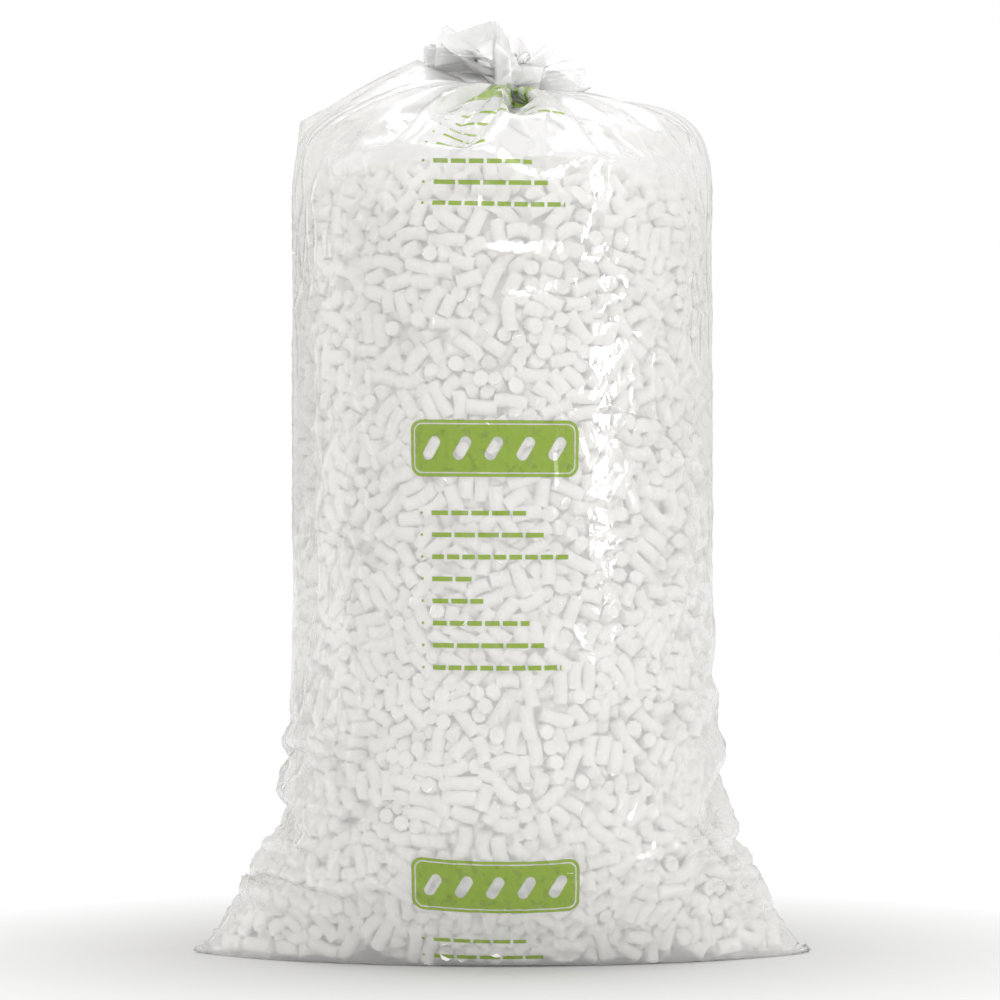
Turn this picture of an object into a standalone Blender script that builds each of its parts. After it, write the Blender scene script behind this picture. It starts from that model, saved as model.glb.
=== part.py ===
"""A clear film bag of packing peanuts, tied at the neck and standing on its base.

Metres, +Z up. The origin is the middle of the flat base. The front faces -Y.
"""

from math import copysign, cos, exp, pi, sin, sqrt
from random import Random

import bmesh
import bpy
from mathutils import Matrix, Vector
from mathutils.bvhtree import BVHTree

# The height of the tie's lower edge, which all heights of the shoulders and the fill follow
NECK_HEIGHT = 1.268

# The film tube: a full bag is round, and as far round as the flat tube is wide twice over
FLAT_WIDTH = 1.0
FILM = 0.0005
BODY_RADIUS = FLAT_WIDTH / pi

# The foot, where the bottom weld pulls the tube out into two ears
FOOT_HEIGHT = 0.26
EAR_REACH = 0.145
FOOT_TAPER = 0.060
TAPER_HEIGHT = 0.36
EDGE_ROLL = 0.014
EDGE_ROLL_HEIGHT = 0.032
FOOT_LEVELS = (0.0, 0.05, 0.14, 0.28, 0.44, 0.62, 0.82, 1.0)

# The straight body, drawn in a little at its waist
WAIST_DEPTH = 0.004
BODY_BANDS = 13
SLACK = 0.002
CREASE_DEPTH = 0.0045

# Folds that fan up from the tips of the ears
EAR_FOLDS = 6
EAR_FOLD_DEPTH = 0.010

# The shoulders: squarer at the sides than at the front and the back, and full of gathers
SHOULDER_DROP = 0.168
CROWN_RISE = 0.029
SHOULDER_HEIGHT = NECK_HEIGHT - SHOULDER_DROP
CROWN_HEIGHT = NECK_HEIGHT + CROWN_RISE
SIDE_POWER = 4.8
FRONT_POWER = 2.3
SHOULDER_LEVELS = (0.13, 0.27, 0.41, 0.54, 0.65, 0.75, 0.83, 0.90)
GATHER_DEPTH = 0.020
SLUMP_DEPTH = 0.008
SHOULDER_TILT = 0.014

# The fold of film that is lifted over the left shoulder
RIDGE_LIFT = 0.039
RIDGE_WIDTH = 0.32
RIDGE_START = 0.65

# The gathered neck
NECK_LENGTH = 0.032
NECK_RADIUS = 0.024
NECK_SHIFT = 0.016
PLEATS = 16
SIDES_PER_PLEAT = 4
PLEAT_SHARE = 0.30

# The loose mouth above the tie, wide, shallow and higher at the left
MOUTH_HALF_WIDTH = 0.124
MOUTH_HALF_DEPTH = 0.075
MOUTH_HEIGHT = 0.084
MOUTH_TILT = 0.055
RUFFLE_SHARE = 0.20
RUFFLE_LIFT = 0.010
MOUTH_BANDS = 5

# The tape round the neck
TIE_WIDTH = 0.012
TIE_THICKNESS = 0.0012
TIE_PLACE = 0.85
TIE_SIDES = 40
FIT = 0.0003

# One peanut: a short bent roll of starch foam with rounded ends
PEANUT_RADIUS = 0.011
PEANUT_LENGTHS = (0.028, 0.038, 0.048)
PEANUT_BEND = 0.0022
PEANUT_END_ROUND = 0.0045
PEANUT_END_SHARE = 0.70

# The heap: its lumpy side stands off the film, and its crown is domed
WALL_GAP = 0.003
EAR_VOID = 0.030
LUMP_DEPTH = 0.019
CREST_SHARE = 0.20
VALLEY_SHARE = 0.65
LUMP_COLUMNS = 48
LUMP_PITCH = 0.040
HEADSPACE = 0.015
HEAP_SHOULDER = SHOULDER_HEIGHT - HEADSPACE
HEAP_CROWN = 0.070
CROWN_RINGS = 9

# The loose peanuts lying on the crown
LOOSE_PEANUTS = 24
LOOSE_SPREAD = 0.225
DROP_HEIGHT = 0.04
DROP_STEPS = 16

SEED = 11
RING_SIDES = PLEATS * SIDES_PER_PLEAT

COLOURS = {
    "clear_film": ((0.90, 0.91, 0.92), 0.18, 0.30),
    "clear_tape": ((0.86, 0.87, 0.86), 0.30, 0.60),
    "starch_foam": ((0.90, 0.885, 0.85), 0.85, 1.0),
}


def clear_scene():
    """Removes whatever the open file holds."""
    for obj in list(bpy.data.objects):
        bpy.data.objects.remove(obj)


def new_collection(name):
    """A collection in the scene for the part's objects."""
    collection = bpy.data.collections.new(name)
    bpy.context.scene.collection.children.link(collection)
    return collection


def new_material(name):
    """A Principled material with the named finish."""
    colour, roughness, alpha = COLOURS[name]
    material = bpy.data.materials.new(name)
    material.use_nodes = True
    shader = material.node_tree.nodes["Principled BSDF"]
    shader.inputs["Base Color"].default_value = (*colour, 1.0)
    shader.inputs["Roughness"].default_value = roughness
    shader.inputs["Alpha"].default_value = alpha
    material.diffuse_color = (*colour, alpha)
    return material


def add_object(name, data, collection, material):
    """Links a mesh or a curve to the part as a named piece."""
    obj = bpy.data.objects.new(name, data)
    if not data.materials:
        data.materials.append(material)
    collection.objects.link(obj)
    return obj


def section_point(half_width, half_depth, pinch, turn):
    """A point of the tube's section: an ellipse whose two side points sharpen into folds."""
    across, along = cos(turn), sin(turn)
    return Vector(
        (half_width * across, -half_depth * copysign(abs(along) ** (1 + pinch), along), 0)
    )


def foot_flare(height):
    """How far the ears reach at a height: 1 on the floor, 0 at the top of the foot."""
    return max(0.0, 1 - height / FOOT_HEIGHT) ** 1.5


def foot_taper(height):
    """How far the front and the back of the foot stand in from the body at a height."""
    return FOOT_TAPER * max(0.0, 1 - height / TAPER_HEIGHT) ** 2


def edge_roll(height):
    """How far the film has turned under the foot at a height."""
    return EDGE_ROLL * max(0.0, 1 - height / EDGE_ROLL_HEIGHT) ** 2


def body_section(height, inset=0.0, ear_void=0.0):
    """Half width, half depth and pinch of the tube below its shoulders."""
    flare = foot_flare(height)
    waist = WAIST_DEPTH * sin(pi * height / SHOULDER_HEIGHT) ** 2
    radius = BODY_RADIUS - waist - inset
    half_width = radius + (EAR_REACH - ear_void) * flare
    half_depth = radius - foot_taper(height) - edge_roll(height)
    return half_width, half_depth, flare


def crease(turn, height):
    """How far the film stands out at a crease; two sets of long creases cross on the body."""
    rising = 1 - abs(sin(4 * turn + 9 * height))
    falling = 1 - abs(sin(3 * turn - 14 * height + 1.0))
    fade = min(1.0, height / FOOT_HEIGHT)
    return (CREASE_DEPTH * (rising**2 + falling**2) - SLACK) * fade


def ear_fold(turn, height):
    """How far a fold near an ear stands out; its line runs down to the ear's tip."""
    near_ear = cos(turn) ** 8 * foot_flare(height) * (1 - foot_flare(height))
    return 4 * EAR_FOLD_DEPTH * near_ear * sin(EAR_FOLDS * turn + 0.4) ** 2


def body_ring(height):
    """The film's outer side at a height below the shoulders."""
    ring = []
    for k in range(RING_SIDES):
        turn = 2 * pi * k / RING_SIDES
        stand_off = crease(turn, height) + ear_fold(turn, height)
        half_width, half_depth, pinch = body_section(height, -stand_off)
        point = section_point(half_width, half_depth, pinch, turn)
        ring.append(point + Vector((0, 0, height)))
    return ring


def pleat_wave(turn):
    """The pleats round the neck, -1 in a valley and 1 on a crest, of uneven depth."""
    unevenness = 0.82 + 0.18 * sin(3 * turn + 0.7)
    return unevenness * cos(PLEATS * turn)


def ridge_lift(share, turn):
    """How far the fold over the left shoulder lifts the film, at a share of the way up."""
    aside = (pi - turn) / RIDGE_WIDTH
    along = max(0.0, share - RIDGE_START) / (SHOULDER_LEVELS[-1] - RIDGE_START)
    return RIDGE_LIFT * exp(-(aside**2)) * along**1.5


def shoulder_ring(share):
    """The film over the shoulders: share 0 leaves the body and 1 would close over the top."""
    rise = pi / 2 * share
    drift = share**2
    ring = []
    for k in range(RING_SIDES):
        turn = 2 * pi * k / RING_SIDES
        across = cos(turn)
        bluntness = 2 / FRONT_POWER + (2 / SIDE_POWER - 2 / FRONT_POWER) * across**2
        reach = BODY_RADIUS * cos(rise) ** bluntness
        height = SHOULDER_HEIGHT + (CROWN_HEIGHT - SHOULDER_HEIGHT) * sin(rise) ** bluntness
        fold = GATHER_DEPTH * drift * pleat_wave(turn)
        fold += SLUMP_DEPTH * drift * sin(5 * turn + 4 * share + 0.4)
        fold += (1 - share) * crease(turn, height)
        outward = reach + fold * cos(rise)
        lift = fold * sin(rise) - SHOULDER_TILT * drift * across + ridge_lift(share, turn)
        ring.append(
            Vector(
                (
                    outward * across + NECK_SHIFT * drift,
                    -outward * sin(turn),
                    height + lift,
                )
            )
        )
    return ring


def neck_ring(height):
    """The film drawn together under the tie."""
    ring = []
    for k in range(RING_SIDES):
        turn = 2 * pi * k / RING_SIDES
        radius = NECK_RADIUS * (1 + PLEAT_SHARE * pleat_wave(turn))
        ring.append(Vector((NECK_SHIFT + radius * cos(turn), -radius * sin(turn), height)))
    return ring


def mouth_ring(share):
    """The free mouth of the bag above the tie, which opens into ruffles."""
    spread = share**0.85
    half_width = NECK_RADIUS + (MOUTH_HALF_WIDTH - NECK_RADIUS) * spread
    half_depth = NECK_RADIUS + (MOUTH_HALF_DEPTH - NECK_RADIUS) * spread
    ruffle = PLEAT_SHARE + (RUFFLE_SHARE - PLEAT_SHARE) * share
    ring = []
    for k in range(RING_SIDES):
        turn = 2 * pi * k / RING_SIDES
        across = cos(turn)
        swell = 1 + ruffle * pleat_wave(turn) + 0.08 * share * sin(3 * turn + 0.9)
        lean = MOUTH_TILT * ((1 + across) / 2) ** 2
        lift = share * (MOUTH_HEIGHT - lean + RUFFLE_LIFT * sin(5 * turn + 1.0))
        ring.append(
            Vector(
                (
                    NECK_SHIFT + swell * half_width * across,
                    -swell * half_depth * sin(turn),
                    NECK_HEIGHT + NECK_LENGTH + lift,
                )
            )
        )
    return ring


def film_rings():
    """Every ring of the film, from the edge of the base to the mouth."""
    rings = [body_ring(FOOT_HEIGHT * level) for level in FOOT_LEVELS]
    band = (SHOULDER_HEIGHT - FOOT_HEIGHT) / BODY_BANDS
    rings += [body_ring(FOOT_HEIGHT + band * k) for k in range(1, BODY_BANDS + 1)]
    rings += [shoulder_ring(share) for share in SHOULDER_LEVELS]
    rings += [neck_ring(NECK_HEIGHT), neck_ring(NECK_HEIGHT + NECK_LENGTH)]
    rings += [mouth_ring(k / MOUTH_BANDS) for k in range(1, MOUTH_BANDS + 1)]
    return rings


def loft(name, rings, staggered=False, tip=None):
    """A skin over rings of equal count, closed flat at the first one.

    The rings run clockwise as seen from above, and the faces look outward. A staggered ring
    is turned half a side on from the one below it. The last ring stays open unless a tip
    closes it.
    """
    skin = bmesh.new()
    rows = [[skin.verts.new(point) for point in ring] for ring in rings]
    sides = len(rows[0])
    skin.faces.new(rows[0])
    for level, (low, high) in enumerate(zip(rows, rows[1:])):
        for k in range(sides):
            after = (k + 1) % sides
            if not staggered:
                skin.faces.new((high[k], high[after], low[after], low[k]))
            elif level % 2:
                skin.faces.new((high[k], high[after], low[k]))
                skin.faces.new((high[after], low[after], low[k]))
            else:
                skin.faces.new((high[k], low[after], low[k]))
                skin.faces.new((high[k], high[after], low[after]))
    if tip is not None:
        top = skin.verts.new(tip)
        for k in range(sides):
            skin.faces.new((top, rows[-1][(k + 1) % sides], rows[-1][k]))
    mesh = bpy.data.meshes.new(name)
    skin.to_mesh(mesh)
    skin.free()
    return mesh


def build_film(collection, material):
    """The bag: one tube of clear film, welded flat at the bottom and open at its mouth."""
    mesh = loft("bag_film", film_rings())
    mesh.shade_smooth()
    film = add_object("bag_film", mesh, collection, material)
    wall = film.modifiers.new("film", "SOLIDIFY")
    wall.thickness = FILM
    wall.offset = -1
    return film


def build_tie(collection, material):
    """A turn of clear tape round the neck, just outside the pleats."""
    inner = NECK_RADIUS * (1 + PLEAT_SHARE) + FIT
    outer = inner + TIE_THICKNESS
    low = NECK_HEIGHT + (NECK_LENGTH - TIE_WIDTH) * TIE_PLACE
    profile = bmesh.new()
    corners = [
        profile.verts.new(point)
        for point in (
            (outer, 0, low + TIE_WIDTH),
            (outer, 0, low),
            (inner, 0, low),
            (inner, 0, low + TIE_WIDTH),
        )
    ]
    for k in range(4):
        profile.edges.new((corners[k], corners[(k + 1) % 4]))
    mesh = bpy.data.meshes.new("neck_tie")
    profile.to_mesh(mesh)
    profile.free()
    tie = add_object("neck_tie", mesh, collection, material)
    tie.location.x = NECK_SHIFT
    turned = tie.modifiers.new("turn", "SCREW")
    turned.steps = turned.render_steps = TIE_SIDES
    turned.use_merge_vertices = True
    turned.merge_threshold = 0.0001
    return tie


def heap_rings(chance):
    """The lumpy side and crown of the heap, as staggered rings, and the top of its crown.

    One point in three stands out as the crest of a peanut, and the two between are valleys.
    """
    floor = FILM + FIT
    rows = round((HEAP_SHOULDER - floor) / (LUMP_PITCH * sqrt(3) / 2))
    rings = []
    for row in range(rows + CROWN_RINGS):
        over = max(0, row - rows) / CROWN_RINGS
        height = floor + (HEAP_SHOULDER - floor) * min(1.0, row / rows)
        half_width, half_depth, pinch = body_section(height, FILM + WALL_GAP, EAR_VOID)
        ring = []
        for k in range(LUMP_COLUMNS):
            turn = 2 * pi * (k + 0.5 * (row % 2)) / LUMP_COLUMNS
            crest = (k + 2 * (row % 2)) % 3 == 0
            shallow, deep = (0, CREST_SHARE) if crest else (VALLEY_SHARE, 1)
            depth = LUMP_DEPTH * chance.uniform(shallow, deep)
            if row == 0:
                depth = EDGE_ROLL
            point = section_point(half_width - depth, half_depth - depth, pinch, turn)
            point *= 1 - over
            crown = HEAP_CROWN * (1 - (1 - over) ** 2)
            sink = depth * over if row > rows else 0
            ring.append(point + Vector((0, 0, height + crown - sink)))
        rings.append(ring)
    return rings, Vector((0, 0, HEAP_SHOULDER + HEAP_CROWN))


def build_heap(collection, material, chance):
    """The packed peanuts, fused into one heap that fills the bag up to its headspace."""
    rings, tip = heap_rings(chance)
    mesh = loft("loose_fill", rings, staggered=True, tip=tip)
    mesh.shade_smooth()
    return add_object("loose_fill", mesh, collection, material)


def peanut_curve(length):
    """A bent roll of foam along X, drawn in at both ends."""
    half = length / 2
    stations = (
        (-half, PEANUT_END_SHARE),
        (-half + PEANUT_END_ROUND, 1.0),
        (half - PEANUT_END_ROUND, 1.0),
        (half, PEANUT_END_SHARE),
    )
    curve = bpy.data.curves.new(f"peanut_{round(length * 1000)}mm", "CURVE")
    curve.dimensions = "3D"
    curve.bevel_depth = PEANUT_RADIUS
    curve.bevel_resolution = 2
    curve.use_fill_caps = True
    spline = curve.splines.new("POLY")
    spline.points.add(len(stations) - 1)
    for point, (along, share) in zip(spline.points, stations):
        sag = PEANUT_BEND * (1 - (along / half) ** 2)
        point.co = (along, 0, sag, 1)
        point.radius = share
    return curve


def faces_of(obj):
    """The corner points of a piece as it stands, and its faces."""
    evaluated = obj.evaluated_get(bpy.context.evaluated_depsgraph_get())
    mesh = evaluated.to_mesh()
    points = [obj.matrix_world @ vertex.co for vertex in mesh.vertices]
    faces = [tuple(face.vertices) for face in mesh.polygons]
    evaluated.to_mesh_clear()
    return points, faces


def seat_on(obj, carrier):
    """Lowers a piece until it touches what carries it, and leaves the fit between them."""
    points, faces = faces_of(obj)
    clear, touching = DROP_HEIGHT, -DROP_HEIGHT
    for _ in range(DROP_STEPS):
        middle = (clear + touching) / 2
        moved = [point + Vector((0, 0, middle)) for point in points]
        if BVHTree.FromPolygons(moved, faces).overlap(carrier):
            touching = middle
        else:
            clear = middle
    obj.location.z += clear + FIT


def heap_height(x, y):
    """The height of the heap's crown, without its lumps."""
    share = sqrt(x * x + y * y) / (BODY_RADIUS - FILM - WALL_GAP)
    return HEAP_SHOULDER + HEAP_CROWN * (1 - share**2)


def build_loose_peanuts(collection, material, heap, chance):
    """Single peanuts lying on the crown, spread evenly by the golden angle."""
    curves = [peanut_curve(length) for length in PEANUT_LENGTHS]
    carrier = BVHTree.FromPolygons(*faces_of(heap))
    golden = pi * (3 - sqrt(5))
    for number in range(LOOSE_PEANUTS):
        out = LOOSE_SPREAD * sqrt((number + 0.5) / LOOSE_PEANUTS)
        x, y = out * cos(golden * number), out * sin(golden * number)
        curve = curves[number % len(curves)]
        peanut = add_object(f"peanut_{number + 1:02d}", curve, collection, material)
        slope = Vector((-2 * HEAP_CROWN * x, -2 * HEAP_CROWN * y, -(BODY_RADIUS**2)))
        lean = Vector((0, 0, -1)).rotation_difference(slope)
        spin = Matrix.Rotation(2 * pi * chance.random(), 4, "Z")
        place = Matrix.Translation((x, y, heap_height(x, y) + PEANUT_RADIUS))
        peanut.matrix_world = place @ lean.to_matrix().to_4x4() @ spin
        bpy.context.view_layer.update()
        seat_on(peanut, carrier)


def main():
    """Builds the bag, its tie and its fill."""
    clear_scene()
    chance = Random(SEED)
    collection = new_collection("packing_peanut_bag")
    foam = new_material("starch_foam")
    build_film(collection, new_material("clear_film"))
    build_tie(collection, new_material("clear_tape"))
    heap = build_heap(collection, foam, chance)
    bpy.context.view_layer.update()
    build_loose_peanuts(collection, foam, heap, chance)


main()
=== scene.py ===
import logging
import math
from dataclasses import dataclass, field
from enum import Enum
from typing import Iterable, Sequence

import bpy
import numpy as np
from mathutils import Matrix, Vector


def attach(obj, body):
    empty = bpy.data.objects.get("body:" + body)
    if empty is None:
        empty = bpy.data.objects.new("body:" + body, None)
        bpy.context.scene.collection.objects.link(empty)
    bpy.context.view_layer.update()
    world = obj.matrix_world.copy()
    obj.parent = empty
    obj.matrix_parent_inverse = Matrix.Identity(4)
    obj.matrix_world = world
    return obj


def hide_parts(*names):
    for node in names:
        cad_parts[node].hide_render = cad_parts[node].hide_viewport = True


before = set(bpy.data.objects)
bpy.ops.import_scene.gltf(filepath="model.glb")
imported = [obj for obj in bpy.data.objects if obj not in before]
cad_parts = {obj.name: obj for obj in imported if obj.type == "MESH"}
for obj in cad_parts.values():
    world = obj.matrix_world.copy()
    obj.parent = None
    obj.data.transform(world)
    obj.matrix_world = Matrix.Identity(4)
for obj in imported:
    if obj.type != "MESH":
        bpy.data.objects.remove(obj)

LOG = logging.getLogger("packing_peanut_bag")
BODY = "root"
FLOOR_SKIN = 0.0006


def triangle_wave(turns: np.ndarray) -> np.ndarray:
    """Returns a wave of straight flanks with slightly rounded tips, from -1 to 1."""
    tip = 0.98
    return np.arcsin(np.sin(turns) * tip) / math.asin(tip)


def smooth_step(share: np.ndarray) -> np.ndarray:
    """Returns a share from 0 to 1, eased at both ends."""
    share = np.clip(share, 0, 1)
    return share * share * (3 - 2 * share)


@dataclass
class BagShape:
    """The room inside the bag: a round body on a foot with two ears, under blunt shoulders."""

    girth: float = 2.0
    foot_height: float = 0.26
    ear_reach: float = 0.145
    foot_taper: float = 0.120
    taper_height: float = 0.26
    pinch: float = 0.55
    shoulder: float = 1.10
    crown: float = 1.285
    side_power: float = 4.6
    front_power: float = 1.9
    dip: float = 0.06
    dip_radius: float = 0.11
    shift: float = 0.016
    ridge_top: tuple[float, float] = (-0.128, 1.346)
    ridge_foot: tuple[float, float] = (-0.285, 1.262)
    ridge_fall: float = 1.3
    ridge_width: float = 0.030

    @property
    def radius(self) -> float:
        """The body's radius."""
        return self.girth / (2 * math.pi)

    def flare(self, height: np.ndarray) -> np.ndarray:
        """Returns how far the ears reach at a height, from 1 on the floor to 0."""
        return np.maximum(0, 1 - height / self.foot_height) ** 1.5

    def taper(self, height: np.ndarray) -> np.ndarray:
        """Returns how much nearer to the middle the front and back stand at a height."""
        return self.foot_taper * np.maximum(0, 1 - height / self.taper_height) ** 2

    def lean(self, height: np.ndarray, out_x: np.ndarray, out_y: np.ndarray) -> np.ndarray:
        """Returns how much longer a level way to the foot's film is than the straight way.

        Args:
            height: The height of each point.
            out_x: The x of the direction out of the fill.
            out_y: The y of that direction.

        Returns:
            The factor at each point, 1 where the film stands upright.
        """
        flaring = 1.5 * self.ear_reach / self.foot_height * np.sqrt(
            np.maximum(0, 1 - height / self.foot_height)
        )
        tapering = 2 * self.foot_taper / self.taper_height * np.maximum(
            0, 1 - height / self.taper_height
        )
        return np.sqrt(1 + (flaring * out_x) ** 2 + (tapering * out_y) ** 2)

    def section(self, turn: np.ndarray, height: np.ndarray) -> tuple[np.ndarray, np.ndarray]:
        """Places points on the outline of the foot or the body.

        Args:
            turn: The angle round the bag; 0 is the right ear and a quarter turn the front.
            height: The height above the floor.

        Returns:
            The x and y of each point.
        """
        flare = self.flare(height)
        half_width = self.radius + self.ear_reach * flare
        half_depth = self.radius - self.taper(height)
        rise = np.sin(turn)
        power = 1 + self.pinch * flare
        return half_width * np.cos(turn), -half_depth * np.sign(rise) * np.abs(rise) ** power

    def limits(
        self, points: np.ndarray, inset: float, low: float, high: float, powers: tuple[float, float]
    ) -> tuple[np.ndarray, ...]:
        """Measures how far points lie inside a domed room of this outline.

        Args:
            points: An array of points; the last axis holds x, y and z.
            inset: How far the room's side stands in from the film.
            low: The height where the dome starts.
            high: The height of the dome's top.
            powers: The bluntness of the dome at the sides and at the front.

        Returns:
            A mask of the points inside, the depth of each below the side, and the outward
            direction along which that depth is measured, as its x and y.
        """
        x, y, z = points[..., 0], points[..., 1], points[..., 2]
        flare = self.flare(z)
        share = np.clip((z - low) / (high - low), 0, 0.999)
        at_side, at_front = ((1 - share**power) ** (1 / power) for power in powers)
        width = (self.radius - inset + self.ear_reach * flare) * at_side
        depth = (self.radius - inset - self.taper(z)) * at_front
        across = np.abs(x) / width
        along = np.maximum(np.abs(y), 1e-4) / depth
        power = 2 / (1 + self.pinch * flare)
        level = across**2 + along**power
        slope_x = 2 * x / width**2
        slope_y = power * along ** (power - 1) / depth * np.sign(y)
        steep = np.sqrt(slope_x**2 + slope_y**2) + 1e-6
        return level < 1, (1 - level) / steep, slope_x / steep, slope_y / steep

    def push_out(self, points: np.ndarray, inset: float) -> None:
        """Moves points of the film out of the room that the fill and the air take.

        Args:
            points: The film's points, changed in place.
            inset: How far the room stands in from the tight film.
        """
        x, y, z = points[..., 0], points[..., 1], points[..., 2]
        inside, depth, out_x, out_y = self.limits(
            points, inset, self.shoulder, self.crown, (self.side_power, self.front_power)
        )
        centre = (x - 0.8 * self.shift) ** 2 + y * y
        roof = self.crown - self.dip * np.exp(-centre / self.dip_radius**2)
        inside &= z < roof
        upward = inside & (roof - z < depth) & (z > self.shoulder + 0.05)
        downward = inside & (z < depth) & (z < 0.06)
        aside = np.where(inside & ~upward & ~downward, np.minimum(depth, 0.01), 0.0)
        x += aside * out_x
        y += aside * out_y
        z += np.where(upward, np.minimum(roof - z, 0.01), 0.0)
        z -= np.where(downward, 0.01, 0.0)
        slope = (self.ridge_top[1] - self.ridge_foot[1]) / (self.ridge_top[0] - self.ridge_foot[0])
        past = x - self.ridge_top[0]
        ridge = self.ridge_top[1] + np.where(past < 0, slope, -self.ridge_fall) * past
        ridge = ridge - 0.02 * (y / self.ridge_width) ** 2
        lift = (ridge - z > 0) & (z > self.shoulder) & (x > self.ridge_foot[0] - 0.02) & (x < -0.045)
        z += np.where(lift, np.minimum(ridge - z, 0.004), 0.0)
        np.maximum(z, FLOOR_SKIN, out=z)


@dataclass(frozen=True)
class CreaseField:
    """The small sharp creases that filling and handling leave in the film."""

    level_pitch: float = 0.058
    level_height: float = 0.0050
    slant_pitch: float = 0.105
    level_places: tuple[tuple[float, float, float, float, float], ...] = (
        (0.85, 0.98, 0.42, 0.17, 1.0), (0.45, 0.60, 0.35, 0.16, 0.5), (2.45, 1.02, 0.40, 0.10, 0.6),
        (0.80, 0.14, 0.45, 0.07, 0.6), (4.10, 0.95, 0.60, 0.20, 0.9), (5.40, 0.70, 0.50, 0.22, 0.7),
    )
    upright_pitch: float = 0.030
    upright_height: float = 0.0020
    ear_pitch: float = 0.032
    ear_slant: float = 0.8
    ear_height: float = 0.0028
    long_folds: tuple[tuple[float, float, float, float], ...] = (
        (1.98, 2.66, 0.122, 0.180), (2.30, 2.80, 0.070, 0.115), (0.62, 1.02, 1.085, 1.150),
    )
    fold_height: float = 0.0048
    fold_width: float = 0.011
    small_pitch: float = 0.030
    small_width: float = 0.075
    small_height: float = 0.0011
    low: float = 0.03
    high: float = 1.22
    seed: int = 9

    def noise(
        self, across: np.ndarray, up: np.ndarray, cells: int, step: float, layer: int
    ) -> np.ndarray:
        """Returns soft noise from -1 to 1.

        Args:
            across: The share of the way round, from 0 to 1.
            up: The height, in metres.
            cells: The number of cells round the bag.
            step: The height of a cell.
            layer: The number of this noise, which gives it its own values.

        Returns:
            The noise at each point.
        """
        rows = int(2.2 / step) + 3
        grid = np.random.default_rng([self.seed, layer]).uniform(-1, 1, (cells, rows))
        a, b = across * cells, np.clip(up, 0, 2.0) / step
        i, j = np.floor(a).astype(int), np.floor(b).astype(int)
        fa, fb = smooth_step(a - i), smooth_step(b - j)
        left = grid[i % cells, j] * (1 - fb) + grid[i % cells, j + 1] * fb
        right = grid[(i + 1) % cells, j] * (1 - fb) + grid[(i + 1) % cells, j + 1] * fb
        return left * (1 - fa) + right * fa

    @staticmethod
    def crest(phase: np.ndarray, sharpness: float = 1.6) -> np.ndarray:
        """Returns sharp crests from 0 to 1, one for each whole step of the phase."""
        return (1 - np.abs(2 * (phase % 1.0) - 1)) ** sharpness

    def heights(
        self, points: np.ndarray, turn: np.ndarray, lengths: np.ndarray, girth: float
    ) -> np.ndarray:
        """Works out how far the film stands out at its creases.

        Args:
            points: The film's points.
            turn: The angle of each column.
            lengths: Every point's distance from the weld.
            girth: The tube's girth.

        Returns:
            The height of the creases at every point.
        """
        z = points[..., 2]
        share = np.broadcast_to((turn / (2 * math.pi))[:, None], z.shape)
        warp = self.noise(share, z, 22, 0.07, 1)
        fine_warp = self.noise(share, z, 60, 0.03, 2)
        places = np.zeros_like(z)
        for angle, level, wide, tall, weight in self.level_places:
            aside = np.arctan2(np.sin(turn - angle), np.cos(turn - angle))[:, None]
            places += weight * np.exp(-((aside / wide) ** 2) - ((z - level) / tall) ** 2)
        patch = smooth_step(0.75 + 0.9 * self.noise(share, z, 16, 0.06, 3))
        other = smooth_step(0.65 + 0.9 * self.noise(share, z, 18, 0.05, 4))
        level = z / self.level_pitch + 0.7 * warp + 0.15 * fine_warp
        slant = girth / self.slant_pitch * share
        rising, falling = self.crest(level + slant), self.crest(1.15 * level - slant + 0.4)
        total = self.level_height * places * (patch * rising + other * falling)
        edges = np.cos(turn)[:, None] ** 4
        upright = girth / self.upright_pitch * share + 1.5 * warp * 0.6
        total = total + self.upright_height * edges * self.crest(upright) * patch
        around = np.arctan2(np.sin(turn), np.cos(turn))[:, None] / (2 * math.pi) * girth
        for ear in (0.0, girth / 2):
            aside = np.abs(np.abs(around) - ear)
            angle = np.arctan2(aside, lengths + 0.02)
            far = np.hypot(aside, lengths)
            ring = smooth_step((far - 0.10) / 0.12) * smooth_step((0.72 - far) / 0.30)
            line = self.crest((lengths + self.ear_slant * aside) / self.ear_pitch + 0.7 * warp, 1.8)
            total = total + self.ear_height * ring * smooth_step((1.25 - angle) / 0.5) * line * patch
        for first, last, low, high in self.long_folds:
            along = (turn[:, None] - first) / (last - first)
            middle = low + (high - low) * along**2
            ends = smooth_step(along / 0.25) * smooth_step((1 - along) / 0.25)
            total = total + self.fold_height * ends * np.exp(-(((z - middle) / self.fold_width) ** 2))
        across = 1.4 * fine_warp + share * girth / self.small_width + 0.6 * warp
        total = total + self.small_height * self.crest(across + z / self.small_pitch, 1.2)
        return total * smooth_step((z - self.low) / 0.05) * smooth_step((self.high - z) / 0.08)

    def press(self, points: np.ndarray, turn: np.ndarray, lengths: np.ndarray, girth: float) -> None:
        """Moves the film's points outward at its creases.

        Args:
            points: The film's points, changed in place.
            turn: The angle of each column.
            lengths: Every point's distance from the weld.
            girth: The tube's girth.
        """
        round_way = np.roll(points, -1, 0) - np.roll(points, 1, 0)
        outward = np.cross(np.gradient(points, axis=1), round_way)
        outward /= np.linalg.norm(outward, axis=2, keepdims=True) + 1e-9
        points += outward * self.heights(points, turn, lengths, girth)[..., None]


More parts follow.
